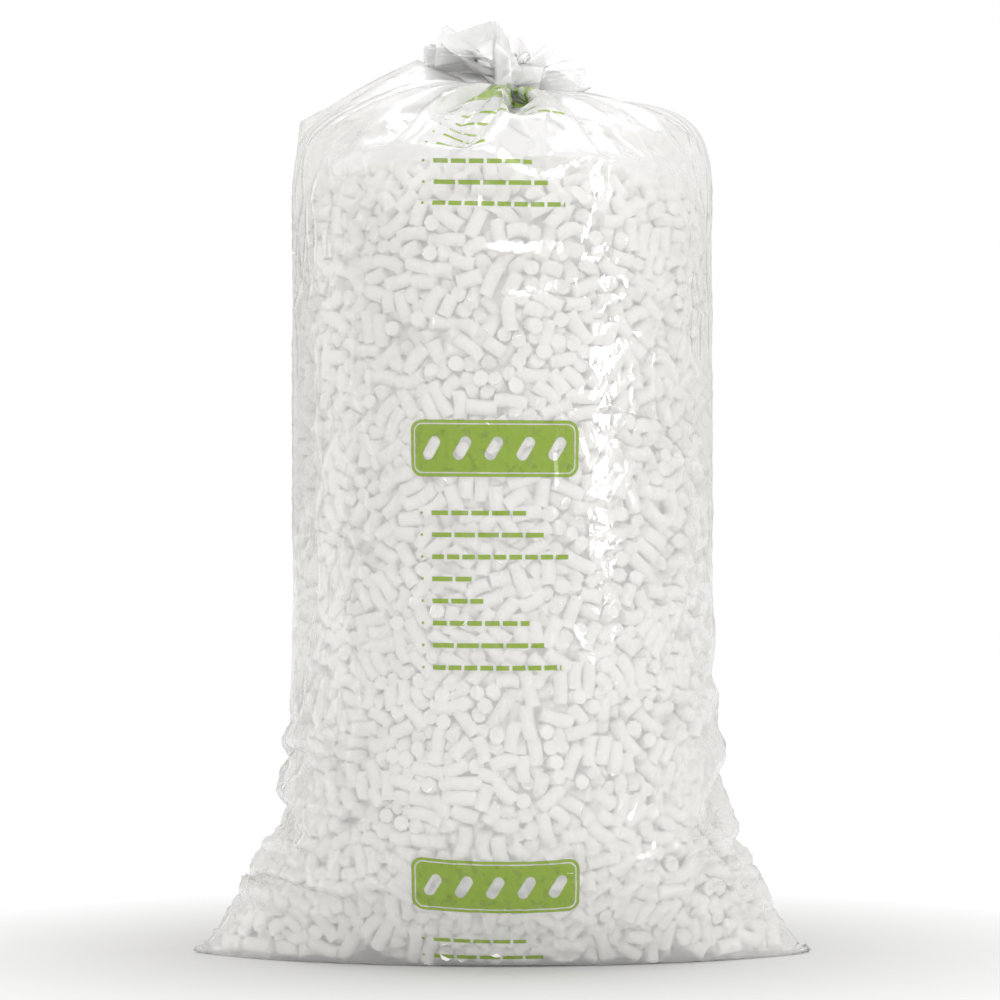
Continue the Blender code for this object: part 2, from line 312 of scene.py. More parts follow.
@dataclass
class FilmTube:
    """The bag's film: a welded tube, gathered at the neck, that cannot stretch.

    It is laid out flat first. Rows run round the tube from the weld to the mouth, and its
    points are then moved until every short run of film has its flat length again.
    """

    shape: BagShape
    length: float = 1.905
    columns: int = 64
    body_rows: int = 56
    mouth_rows: int = 6
    levels: int = 3
    passes: tuple[int, ...] = (400, 300, 260)
    softness: tuple[float, ...] = (0.02, 0.02, 0.03)
    upright_slack: float = 0.007
    foot_pull: float = 0.018
    weld_shrink: float = 0.07
    weld_reach: float = 0.4625
    side_share: float = 0.3
    left_slack: float = 0.045
    crease_slack: float = 0.030
    neck_height: float = 1.268
    neck_length: float = 0.032
    neck_radius: float = 0.0175
    pleat: float = 0.0125
    pleats: int = 36
    mouth_pleats: int = 15
    shoulder_pleats: int = 12
    mouth_width: float = 0.215
    mouth_shift: float = -0.115
    mouth_depth: float = 0.060
    mouth_height: float = 0.080
    mouth_lean: float = 0.080
    throat: float = 0.024
    front_blunt: float = 2.3
    side_blunt: float = 4.8
    peak: float = 1.297
    tilt: float = 0.014
    loose_folds: tuple[tuple[float, float, float, float], ...] = (
        (1.05, 0.99, 0.35, 0.13), (2.5, 1.02, 0.30, 0.09), (0.55, 0.62, 0.30, 0.10),
        (4.1, 0.95, 0.45, 0.14), (5.3, 1.0, 0.40, 0.12), (4.8, 0.45, 0.35, 0.10),
    )
    inset: float = 0.004
    creases: CreaseField = field(default_factory=CreaseField)
    seed: int = 3

    def turns(self, columns: int) -> np.ndarray:
        """Returns the angle of each column."""
        return 2 * math.pi * np.arange(columns) / columns

    def paths(self, turn: np.ndarray) -> np.ndarray:
        """Draws each column's way from the weld to the neck.

        Args:
            turn: The angle of each column.

        Returns:
            Points along every column, as columns by points by 3.
        """
        shape = self.shape
        share = np.abs(np.arctan2(np.sin(turn), np.cos(turn))) / math.pi
        weld_x = self.weld_reach * (1 - 2 * share)
        edge_x, edge_y = shape.section(turn, np.zeros_like(turn))
        ways = [
            np.stack([weld_x + (edge_x - weld_x) * a, edge_y * a, 0 * turn], -1)
            for a in np.linspace(0, 1, 10)[:-1]
        ]
        for height in np.linspace(0, shape.shoulder, 60):
            x, y = shape.section(turn, np.full_like(turn, height))
            ways.append(np.stack([x, y, 0 * turn + height], -1))
        front, side = 2 / self.front_blunt, 2 / self.side_blunt
        blunt = front + (side - front) * np.cos(turn) ** 2
        for part in np.linspace(0, 0.88, 26)[1:]:
            rise = math.pi / 2 * part
            reach = shape.radius * math.cos(rise) ** blunt
            height = shape.shoulder + (self.peak - shape.shoulder) * math.sin(rise) ** blunt
            x = reach * np.cos(turn) + shape.shift * part**2
            height = height - self.tilt * part**2 * np.cos(turn)
            ways.append(np.stack([x, -reach * np.sin(turn), height], -1))
        ways.append(self.neck_ring(turn, self.neck_height, self.throat + 0 * turn))
        return np.stack(ways, 1)

    def neck_ring(self, turn: np.ndarray, height: float, radius: np.ndarray) -> np.ndarray:
        """Returns points round the neck at a height."""
        x, y = self.shape.shift + radius * np.cos(turn), -radius * np.sin(turn)
        return np.stack([x, y, np.full_like(turn, height)], -1)

    def layout(self, level: int) -> tuple[np.ndarray, np.ndarray, np.ndarray]:
        """Lays the film out flat, and draws its smooth shape.

        Args:
            level: How often the first grid is halved.

        Returns:
            The place of every point before the gathers, its distance from the weld, and the
            angle of each column.
        """
        scale = 2**level
        turn = self.turns(self.columns * scale)
        share = np.linspace(0, 1, self.body_rows * scale + 1)
        ways = self.paths(turn)
        steps = np.linalg.norm(np.diff(ways, axis=1), axis=2)
        way_length = np.concatenate([np.zeros((len(turn), 1)), np.cumsum(steps, 1)], 1)
        total = way_length[:, -1]
        middle = 0.5 * (ways[:, 1:, 2] + ways[:, :-1, 2])
        near_ear = np.cos(turn)[:, None] ** 4 * np.exp(-((middle / 0.20) ** 2))
        slack = 1 + self.upright_slack - (self.foot_pull + self.upright_slack) * near_ear
        slack = slack + self.crease_slack * self.loose_places(turn, middle)
        flat = np.concatenate([np.zeros((len(turn), 1)), np.cumsum(steps * slack, 1)], 1)
        placed = np.empty((len(turn), len(share), 3))
        lengths = np.empty((len(turn), len(share)))
        for i in range(len(turn)):
            along = share * total[i]
            for axis in range(3):
                placed[i, :, axis] = np.interp(along, way_length[i], ways[i, :, axis])
            lengths[i] = np.interp(along, way_length[i], flat[i])
        left = np.exp(-((np.abs(np.arctan2(np.sin(turn), np.cos(turn))) - math.pi) / 0.45) ** 2)
        neck = total + self.side_share * (total.mean() - total) + 0.012 + self.left_slack * left
        ramp = np.clip((share - 0.6) / 0.4, 0, 1)
        ramp = 0.5 * (smooth_step(ramp) + ramp)
        lengths += (neck - lengths[:, -1])[:, None] * ramp
        mouth, mouth_lengths = self.mouth(turn, neck, self.mouth_rows * scale)
        points = np.concatenate([placed, mouth], 1)
        return points, np.concatenate([lengths, mouth_lengths], 1), turn

    def loose_places(self, turn: np.ndarray, height: np.ndarray) -> np.ndarray:
        """Returns where the film lies loose in level folds, from 0 to 1.

        Args:
            turn: The angle of each column.
            height: Heights along every column.

        Returns:
            The looseness at each height.
        """
        loose = np.zeros_like(height)
        for angle, level, wide, tall in self.loose_folds:
            aside = np.arctan2(np.sin(turn - angle), np.cos(turn - angle))[:, None]
            loose += np.exp(-((aside / wide) ** 2) - ((height - level) / tall) ** 2)
        return loose

    def mouth(self, turn: np.ndarray, neck: np.ndarray, rows: int) -> tuple[np.ndarray, np.ndarray]:
        """Draws the smooth shape of the loose mouth above the neck.

        Args:
            turn: The angle of each column.
            neck: Each column's flat length up to the neck.
            rows: The number of rows above the neck.

        Returns:
            The place of every point and its distance from the weld.
        """
        share = np.arange(1, rows + 1) / rows
        spread = share**0.85
        across, toward = np.cos(turn)[:, None], np.sin(turn)[:, None]
        half_width = self.throat + (self.mouth_width - self.throat) * spread
        half_depth = self.throat + (self.mouth_depth - self.throat) * spread
        lean = self.mouth_lean * ((1 + across) / 2) ** 2
        rise = share * (self.mouth_height - lean + 0.01 * np.sin(5 * turn + 1)[:, None])
        x = self.shape.shift + self.mouth_shift * spread[None, :] + half_width * across
        placed = np.stack([x, -half_depth * toward, self.neck_height + self.neck_length + rise], -1)
        return placed, neck[:, None] + (self.length - neck)[:, None] * share

    def gather(self, points: np.ndarray, turn: np.ndarray) -> np.ndarray:
        """Lays the film in pleats wherever its ring is shorter than its girth.

        The pleats are many and fine at the neck, and run together into fewer, deeper ones
        away from it.

        Args:
            points: The film's smooth shape.
            turn: The angle of each column.

        Returns:
            The pleated shape.
        """
        ring = np.linalg.norm(np.roll(points, -1, 0) - points, axis=2).sum(0)
        round_way = np.roll(points, -1, 0) - np.roll(points, 1, 0)
        up_way = np.gradient(points, axis=1)
        outward = np.cross(round_way, up_way)
        outward /= np.linalg.norm(outward, axis=2, keepdims=True) + 1e-9
        phase = self.phase(turn)
        rows = points.shape[1]
        neck = rows - 1 - self.mouth_rows
        pleated = points.copy()
        girth = self.shape.girth
        for j in range(rows):
            away = abs(j - neck) / (self.body_rows if j < neck else self.mouth_rows)
            if j < 0.62 * neck or ring[j] > 0.999 * girth:
                continue
            fine = max(0.0, 1 - away / 0.05)
            paired = max(0.0, 1 - abs(away - 0.05) / 0.06) if away < 0.11 else 0.0
            broad = max(0.0, 1 - fine - paired)
            few = self.mouth_pleats if j > neck else self.shoulder_pleats
            wave = (
                fine * triangle_wave(self.pleats * phase)
                + paired * triangle_wave(self.pleats / 2 * phase + 0.4)
                + broad * triangle_wave(few * phase + 0.9)
            )
            number = self.pleats * (fine + paired / 2) + few * broad
            depth = min(0.045, math.sqrt(girth**2 - ring[j] ** 2) / (4 * number))
            pleated[:, j] += outward[:, j] * (depth * wave)[:, None]
        return pleated

    def phase(self, turn: np.ndarray) -> np.ndarray:
        """Returns the angle of each column with the pleats drawn unevenly together."""
        return turn + 0.10 * np.sin(2 * turn + 0.5) + 0.06 * np.sin(5 * turn + 2)

    def held(self, turn: np.ndarray, level: int) -> dict[int, np.ndarray]:
        """Finds where the tie and the weld hold the film.

        Args:
            turn: The angle of each column.
            level: How often the first grid is halved.

        Returns:
            The points of each held row, by the row's number.
        """
        share = np.abs(np.arctan2(np.sin(turn), np.cos(turn))) / math.pi
        weld_x = self.weld_reach * (1 - 2 * share)
        pucker = 0.003 * np.sin(2 * math.pi * weld_x / 0.05)
        rows = {0: np.stack([weld_x, pucker, np.full_like(turn, FLOOR_SKIN)], -1)}
        count = self.pleats if level > 1 else self.pleats / 2
        radius = self.neck_radius + self.pleat * triangle_wave(count * self.phase(turn))
        first = self.body_rows * 2**level
        last = 2**level
        for k in range(last + 1):
            height = self.neck_height + self.neck_length * k / last
            rows[first + k] = self.neck_ring(turn, height, radius)
        return rows

    def rests(self, lengths: np.ndarray) -> dict[str, np.ndarray]:
        """Measures the flat film's edges and diagonals.

        Args:
            lengths: Every point's distance from the weld.

        Returns:
            The flat lengths round, up, and along both diagonals.
        """
        nearness = np.exp(-((lengths / 0.14) ** 2))
        step = self.shape.girth / len(lengths) * (1 - self.weld_shrink * nearness)
        after = np.roll(lengths, -1, 0)
        return {
            "round": np.hypot(step, after - lengths),
            "up": lengths[:, 1:] - lengths[:, :-1],
            "rising": np.hypot(step[:, :-1], after[:, 1:] - lengths[:, :-1]),
            "falling": np.hypot(step[:, :-1], lengths[:, 1:] - after[:, :-1]),
        }

    @staticmethod
    def pull(a: np.ndarray, b: np.ndarray, rest: np.ndarray, push: float = 0.6) -> None:
        """Brings pairs of points to their distance in the flat film.

        Args:
            a: The first point of each pair, changed in place.
            b: The second point of each pair, changed in place.
            rest: The flat distance.
            push: How firmly a pair that is too close is parted.
        """
        way = b - a
        apart = np.sqrt(np.einsum("ijk,ijk->ij", way, way)) + 1e-9
        firm = np.where(apart > rest, 1.0, push)
        move = (0.5 * firm * (apart - rest) / apart)[:, :, None] * way
        a += move
        b -= move

    def settle(
        self, points: np.ndarray, lengths: np.ndarray, turn: np.ndarray, level: int
    ) -> np.ndarray:
        """Moves the film's points until it has its flat lengths and lies on the fill.

        Args:
            points: The film's points.
            lengths: Every point's distance from the weld.
            turn: The angle of each column.
            level: How often the first grid is halved.

        Returns:
            The moved points.
        """
        rest = self.rests(lengths)
        held = self.held(turn, level)
        softness = self.softness[level]
        for _ in range(self.passes[level]):
            for first in (0, 1):
                points = self.pull_columns(points, rest, first)
            self.pull(points[:, 0:-1:2], points[:, 1::2], rest["up"][:, 0::2])
            self.pull(points[:, 1:-1:2], points[:, 2::2], rest["up"][:, 1::2])
            beside = np.roll(points, 1, 0)[:, 1:-1] + np.roll(points, -1, 0)[:, 1:-1]
            mean = 0.25 * (beside + points[:, 2:] + points[:, :-2])
            points[:, 1:-1] += softness * (mean - points[:, 1:-1])
            self.shape.push_out(points, self.inset)
            for row, place in held.items():
                points[:, row] = place
        return points

    def pull_columns(self, points: np.ndarray, rest: dict[str, np.ndarray], first: int) -> np.ndarray:
        """Brings each second column and the one after it to their flat distances.

        Args:
            points: The film's points.
            rest: The flat lengths.
            first: 0 to start from the even columns, 1 from the odd ones.

        Returns:
            The moved points.
        """
        points = np.roll(points, -first, 0)
        near, far = points[0::2], points[1::2]
        flat = {name: np.roll(values, -first, 0)[0::2] for name, values in rest.items()}
        self.pull(near, far, flat["round"])
        self.pull(near[:, :-1], far[:, 1:], flat["rising"])
        self.pull(near[:, 1:], far[:, :-1], flat["falling"])
        return np.roll(points, first, 0)

    @staticmethod
    def halve(points: np.ndarray) -> np.ndarray:
        """Puts a point between each two of the grid, on a smooth curve.

        Args:
            points: The grid.

        Returns:
            The finer grid.
        """
        columns, rows, _ = points.shape
        wide = np.empty((2 * columns, rows, 3))
        wide[0::2] = points
        after = np.roll(points, -1, 0)
        wide[1::2] = (9 * (points + after) - np.roll(points, 1, 0) - np.roll(points, -2, 0)) / 16
        fine = np.empty((2 * columns, 2 * rows - 1, 3))
        fine[:, 0::2] = wide
        middle = 0.5 * (wide[:, 1:] + wide[:, :-1])
        middle[:, 1:-1] = (9 * (wide[:, 1:-2] + wide[:, 2:-1]) - wide[:, :-3] - wide[:, 3:]) / 16
        fine[:, 1::2] = middle
        return fine

    def make(self) -> tuple[np.ndarray, np.ndarray]:
        """Relaxes the film from a coarse grid to a fine one.

        Returns:
            The film's points and their distances from the weld.
        """
        chance = np.random.default_rng(self.seed)
        points = None
        for level in range(self.levels):
            smooth, lengths, turn = self.layout(level)
            if points is None:
                points = self.gather(smooth, turn)
                body = points[:, 1 : self.body_rows - 5]
                body += chance.normal(0, 0.002, body.shape)
            else:
                points = self.halve(points)
                points[:, 1:-1] += chance.normal(0, 0.0004, points[:, 1:-1].shape)
            points = self.settle(points, lengths, turn, level)
        self.creases.press(points, turn, lengths, self.shape.girth)
        return points, lengths

    def mesh(self, name: str) -> bpy.types.Mesh:
        """Makes the film's mesh, with its flat layout in metres as its UV map.

        Args:
            name: The mesh's name.

        Returns:
            The mesh, whose faces look outward.
        """
        points, lengths = self.make()
        columns, rows, _ = points.shape
        place = np.arange(columns * rows).reshape(columns, rows)
        half = columns // 2
        place[half + 1 :, 0] = place[half - 1 : 0 : -1, 0]
        after = np.roll(place, -1, 0)
        corners = [place[:, 1:], after[:, 1:], after[:, :-1], place[:, :-1]]
        quads = np.stack(corners, -1).reshape(-1, 4)
        round_way = self.shape.girth * np.arange(columns) / columns
        step = self.shape.girth / columns
        left = np.broadcast_to(round_way[:, None], lengths.shape)
        beyond = np.roll(lengths, -1, 0)
        flat = (
            (left[:, 1:], lengths[:, 1:]), (left[:, 1:] + step, beyond[:, 1:]),
            (left[:, :-1] + step, beyond[:, :-1]), (left[:, :-1], lengths[:, :-1]),
        )
        uv = np.stack([np.stack(pair, -1) for pair in flat], 2).reshape(-1, 2)
        used, quads = np.unique(quads, return_inverse=True)
        quads = quads.reshape(-1, 4)
        mesh = mesh_from_arrays(name, points.reshape(-1, 3)[used], quads)
        layer = mesh.uv_layers.new(name="flat")
        layer.uv.foreach_set("vector", uv.astype(np.float32).ravel())
        return mesh


def mesh_from_arrays(name: str, points: np.ndarray, faces: np.ndarray) -> bpy.types.Mesh:
    """Makes a smooth mesh.

    Args:
        name: The mesh's name.
        points: The corner points.
        faces: The corner numbers of each face, with as many in every face.

    Returns:
        The mesh.
    """
    mesh = bpy.data.meshes.new(name)
    sides = faces.shape[1]
    mesh.vertices.add(len(points))
    mesh.vertices.foreach_set("co", points.astype(np.float32).ravel())
    mesh.loops.add(faces.size)
    mesh.loops.foreach_set("vertex_index", faces.astype(np.int32).ravel())
    mesh.polygons.add(len(faces))
    mesh.polygons.foreach_set("loop_start", np.arange(0, faces.size, sides, dtype=np.int32))
    mesh.update(calc_edges=True)
    mesh.validate()
    mesh.shade_smooth()
    return mesh


class NodeKit:
    """A node tree with short ways to add and join nodes."""

    def __init__(self, tree: bpy.types.NodeTree) -> None:
        """Takes up a tree and empties it."""
        self.tree = tree
        self.tree.nodes.clear()

    def node(self, kind: str, settings: dict | None = None, **inputs: object) -> bpy.types.Node:
        """Adds a node.

        Args:
            kind: The node's type.
            settings: The node's own properties.
            inputs: A value or a socket for each input, by its name with _ for a space, or by
                its number after i.

        Returns:
            The node.
        """
        made = self.tree.nodes.new(kind)
        for key, value in (settings or {}).items():
            setattr(made, key, value)
        for key, value in inputs.items():
            numbered = key[0] == "i" and key[1:].isdigit()
            socket = made.inputs[int(key[1:])] if numbered else made.inputs[key.replace("_", " ")]
            if isinstance(value, bpy.types.NodeSocket):
                self.tree.links.new(value, socket)
            else:
                socket.default_value = value
        return made

    def math(self, operation: str, *values: object, clamp: bool = False) -> bpy.types.NodeSocket:
        """Adds a Math node.

        Args:
            operation: What it works out.
            values: A number or a socket for each input.
            clamp: Whether the result is held between 0 and 1.

        Returns:
            Its output.
        """
        inputs = {f"i{k}": value for k, value in enumerate(values)}
        settings = {"operation": operation, "use_clamp": clamp}
        return self.node("ShaderNodeMath", settings, **inputs).outputs[0]

    def join(self, shader: bpy.types.Node, output: bpy.types.Node) -> None:
        """Joins a node's first output to the first input of the tree's output node."""
        self.tree.links.new(shader.outputs[0], output.inputs[0])


class ShaderTree(NodeKit):
    """A material's node tree."""

    def __init__(self, name: str) -> None:
        """Starts a material with nothing but its output node."""
        self.material = bpy.data.materials.new(name)
        self.material.use_nodes = True
        super().__init__(self.material.node_tree)
        self.output = self.tree.nodes.new("ShaderNodeOutputMaterial")

    def vector(self, operation: str, *values: object) -> bpy.types.Node:
        """Adds a Vector Math node and returns it."""
        inputs = {f"i{k}": value for k, value in enumerate(values)}
        return self.node("ShaderNodeVectorMath", {"operation": operation}, **inputs)

    def ramp(
        self, value: bpy.types.NodeSocket, low: float, high: float, start: float = 0, end: float = 1
    ) -> bpy.types.NodeSocket:
        """Maps a value from one range to another, held at both ends."""
        return self.node(
            "ShaderNodeMapRange",
            Value=value, From_Min=low, From_Max=high, To_Min=start, To_Max=end,
        ).outputs[0]

    def mix(self, share: object, a: object, b: object) -> bpy.types.NodeSocket:
        """Mixes two colours and returns the result."""
        return self.node(
            "ShaderNodeMix", {"data_type": "RGBA"}, i0=share, i6=a, i7=b
        ).outputs[2]

    def noise(
        self, where: object, scale: float, detail: float = 2.0, dimensions: str = "3D"
    ) -> bpy.types.NodeSocket:
        """Adds a noise and returns its value."""
        return self.node(
            "ShaderNodeTexNoise", {"noise_dimensions": dimensions},
            Vector=where, Scale=scale, Detail=detail,
        ).outputs["Fac"]

    def finish(self, shader: bpy.types.Node) -> bpy.types.Material:
        """Joins the last shader to the output and returns the material."""
        self.join(shader, self.output)
        return self.material


@dataclass(frozen=True)
class Print:
    """The plain green print on the front of the film, repeated along the tube, in metres.

    The film has crept a little, so the lowest repeat stands low_shift higher on it than the
    others, and the highest one high_shift higher.
    """

    first_panel: float = 0.293
    repeat: float = 0.642
    centre: float = -0.010
    half_size: tuple[float, float] = (0.124, 0.0405)
    strip: float = 0.30
    corner: float = 0.017
    sign_pitch: float = 0.046
    sign_half: float = 0.010
    sign_radius: float = 0.0082
    lines: tuple[float, ...] = (0.144, 0.170, 0.209, 0.064, 0.081, 0.149, 0.171, 0.197)
    first_line: float = 0.092
    line_pitch: float = 0.0311
    line_half: float = 0.0034
    left: float = -0.1075
    low_shift: float = 0.024
    high_shift: float = 0.022
    margin: float = 0.08
    rim_inset: float = 0.0055
    rim_half: float = 0.0009
    slant: tuple[float, float] = (0.5, 0.866)
    word_length: float = 0.030
    word_change: float = 0.007
    word_gap: float = 0.0045
    dot_left: float = 0.011
    dot_radius: float = 0.0021

    def mask(self, tree: ShaderTree, flat: bpy.types.NodeSocket, girth: float) -> bpy.types.NodeSocket:
        """Adds the nodes that draw the print.

        Args:
            tree: The film's node tree.
            flat: The flat place of each point, as a vector.
            girth: The tube's girth.

        Returns:
            A socket that is 1 where there is ink.
        """
        parts = tree.node("ShaderNodeSeparateXYZ", Vector=flat)
        x = tree.math("SUBTRACT", girth / 4, parts.outputs[0])
        up = parts.outputs[1]
        low = tree.ramp(up, 0.48, 0.58, self.low_shift, 0.0)
        high = tree.ramp(up, 1.05, 1.15, 0.0, self.high_shift)
        up = tree.math("SUBTRACT", up, tree.math("ADD", low, high))
        down = tree.math("SUBTRACT", self.first_panel + self.margin + self.repeat, up)
        down = tree.math("FLOORED_MODULO", down, self.repeat)
        down = tree.math("SUBTRACT", down, self.margin)
        return tree.math("MAXIMUM", self.panel(tree, x, down), self.bars(tree, x, down))

    def panel(self, tree: ShaderTree, x: object, down: object) -> bpy.types.NodeSocket:
        """Draws the round-cornered panel, with a row of slanted roll shapes left clear.

        Args:
            tree: The film's node tree.
            x: The way across the front, from its middle.
            down: The way down from the panel's middle.

        Returns:
            A socket that is 1 where there is ink.
        """
        aside = tree.math("SUBTRACT", x, self.centre)
        outer = self.rounded(tree, aside, down, self.half_size, self.corner)
        rim_size = tuple(size - self.rim_inset for size in self.half_size)
        rim = self.rounded(tree, aside, down, rim_size, self.corner - 0.005)
        rim = tree.math("LESS_THAN", tree.math("ABSOLUTE", rim), self.rim_half)
        cell = tree.math("ADD", aside, 2.5 * self.sign_pitch)
        cell = tree.math("FLOORED_MODULO", cell, self.sign_pitch)
        cell = tree.math("SUBTRACT", cell, self.sign_pitch / 2)
        dot = tree.math("MULTIPLY", cell, self.slant[0])
        dot = tree.math("ADD", dot, tree.math("MULTIPLY", down, -self.slant[1]))
        dot = tree.math("MINIMUM", tree.math("MAXIMUM", dot, -self.sign_half), self.sign_half)
        off_x = tree.math("SUBTRACT", cell, tree.math("MULTIPLY", dot, self.slant[0]))
        off_y = tree.math("ADD", down, tree.math("MULTIPLY", dot, self.slant[1]))
        sign = tree.math("LESS_THAN", self.distance(tree, off_x, off_y), self.sign_radius)
        within = tree.math("LESS_THAN", tree.math("ABSOLUTE", aside), 2.5 * self.sign_pitch)
        clear = tree.math("MAXIMUM", tree.math("MULTIPLY", sign, within), rim)
        solid = tree.ramp(outer, -0.0004, 0.0004, 1, 0)
        return tree.math("MULTIPLY", solid, tree.math("SUBTRACT", 1.0, clear))

    @staticmethod
    def rounded(
        tree: ShaderTree, x: object, y: object, half: Sequence[float], corner: float
    ) -> bpy.types.NodeSocket:
        """Measures the distance outside a rectangle with round corners, less than 0 inside.

        Args:
            tree: The film's node tree.
            x: The way across from the rectangle's middle.
            y: The way up or down from it.
            half: Half the rectangle's width and height.
            corner: The radius of its corners.

        Returns:
            A socket with the distance.
        """
        over_x = tree.math("SUBTRACT", tree.math("ABSOLUTE", x), half[0] - corner)
        over_y = tree.math("SUBTRACT", tree.math("ABSOLUTE", y), half[1] - corner)
        out_x, out_y = (tree.math("MAXIMUM", over, 0.0) for over in (over_x, over_y))
        inside = tree.math("MINIMUM", tree.math("MAXIMUM", over_x, over_y), 0.0)
        out = Print.distance(tree, out_x, out_y)
        return tree.math("SUBTRACT", tree.math("ADD", out, inside), corner)

    @staticmethod
    def distance(tree: ShaderTree, x: object, y: object) -> bpy.types.NodeSocket:
        """Returns the distance of a flat place from the origin."""
        squares = [tree.math("POWER", part, 2.0) for part in (x, y)]
        return tree.math("SQRT", tree.math("ADD", *squares))

    def bars(self, tree: ShaderTree, x: object, down: object) -> bpy.types.NodeSocket:
        """Draws the plain bars under the panel, each with a dot before it.

        Args:
            tree: The film's node tree.
            x: The way across the front, from its middle.
            down: The way down from the panel's middle.

        Returns:
            A socket that is 1 where there is ink.
        """
        row = tree.math("DIVIDE", tree.math("SUBTRACT", down, self.first_line), self.line_pitch)
        number = tree.math("ROUND", row)
        off = tree.math("MULTIPLY", tree.math("SUBTRACT", row, number), self.line_pitch)
        ramp = tree.node(
            "ShaderNodeValToRGB",
            Fac=tree.math("DIVIDE", tree.math("ADD", number, 0.5), float(len(self.lines))),
        )
        stops = ramp.color_ramp
        stops.interpolation = "CONSTANT"
        longest = 0.25
        for k, length in enumerate(self.lines):
            stop = stops.elements[k] if k < 2 else stops.elements.new(k / len(self.lines))
            stop.position = k / len(self.lines)
            stop.color = (length / longest,) * 3 + (1,)
        end = tree.math("MULTIPLY", ramp.outputs[0], longest)
        along = tree.math("SUBTRACT", x, self.left)
        started = tree.math("GREATER_THAN", along, 0.0)
        inside = tree.math("MULTIPLY", started, tree.math("LESS_THAN", along, end))
        change = tree.math("SINE", tree.math("MULTIPLY", number, 2.4))
        word = tree.math("ADD", self.word_length, tree.math("MULTIPLY", change, self.word_change))
        gap = tree.math("GREATER_THAN", tree.math("FLOORED_MODULO", along, word), self.word_gap)
        bar = tree.math("MULTIPLY", inside, gap)
        thin = tree.math("LESS_THAN", tree.math("ABSOLUTE", off), self.line_half)
        bar = tree.math("MULTIPLY", bar, thin)
        dot = self.distance(tree, tree.math("ADD", along, self.dot_left), off)
        ink = tree.math("MAXIMUM", bar, tree.math("LESS_THAN", dot, self.dot_radius))
        first = tree.math("GREATER_THAN", number, -0.5)
        last = tree.math("LESS_THAN", number, len(self.lines) - 0.5)
        return tree.math("MULTIPLY", ink, tree.math("MULTIPLY", first, last))


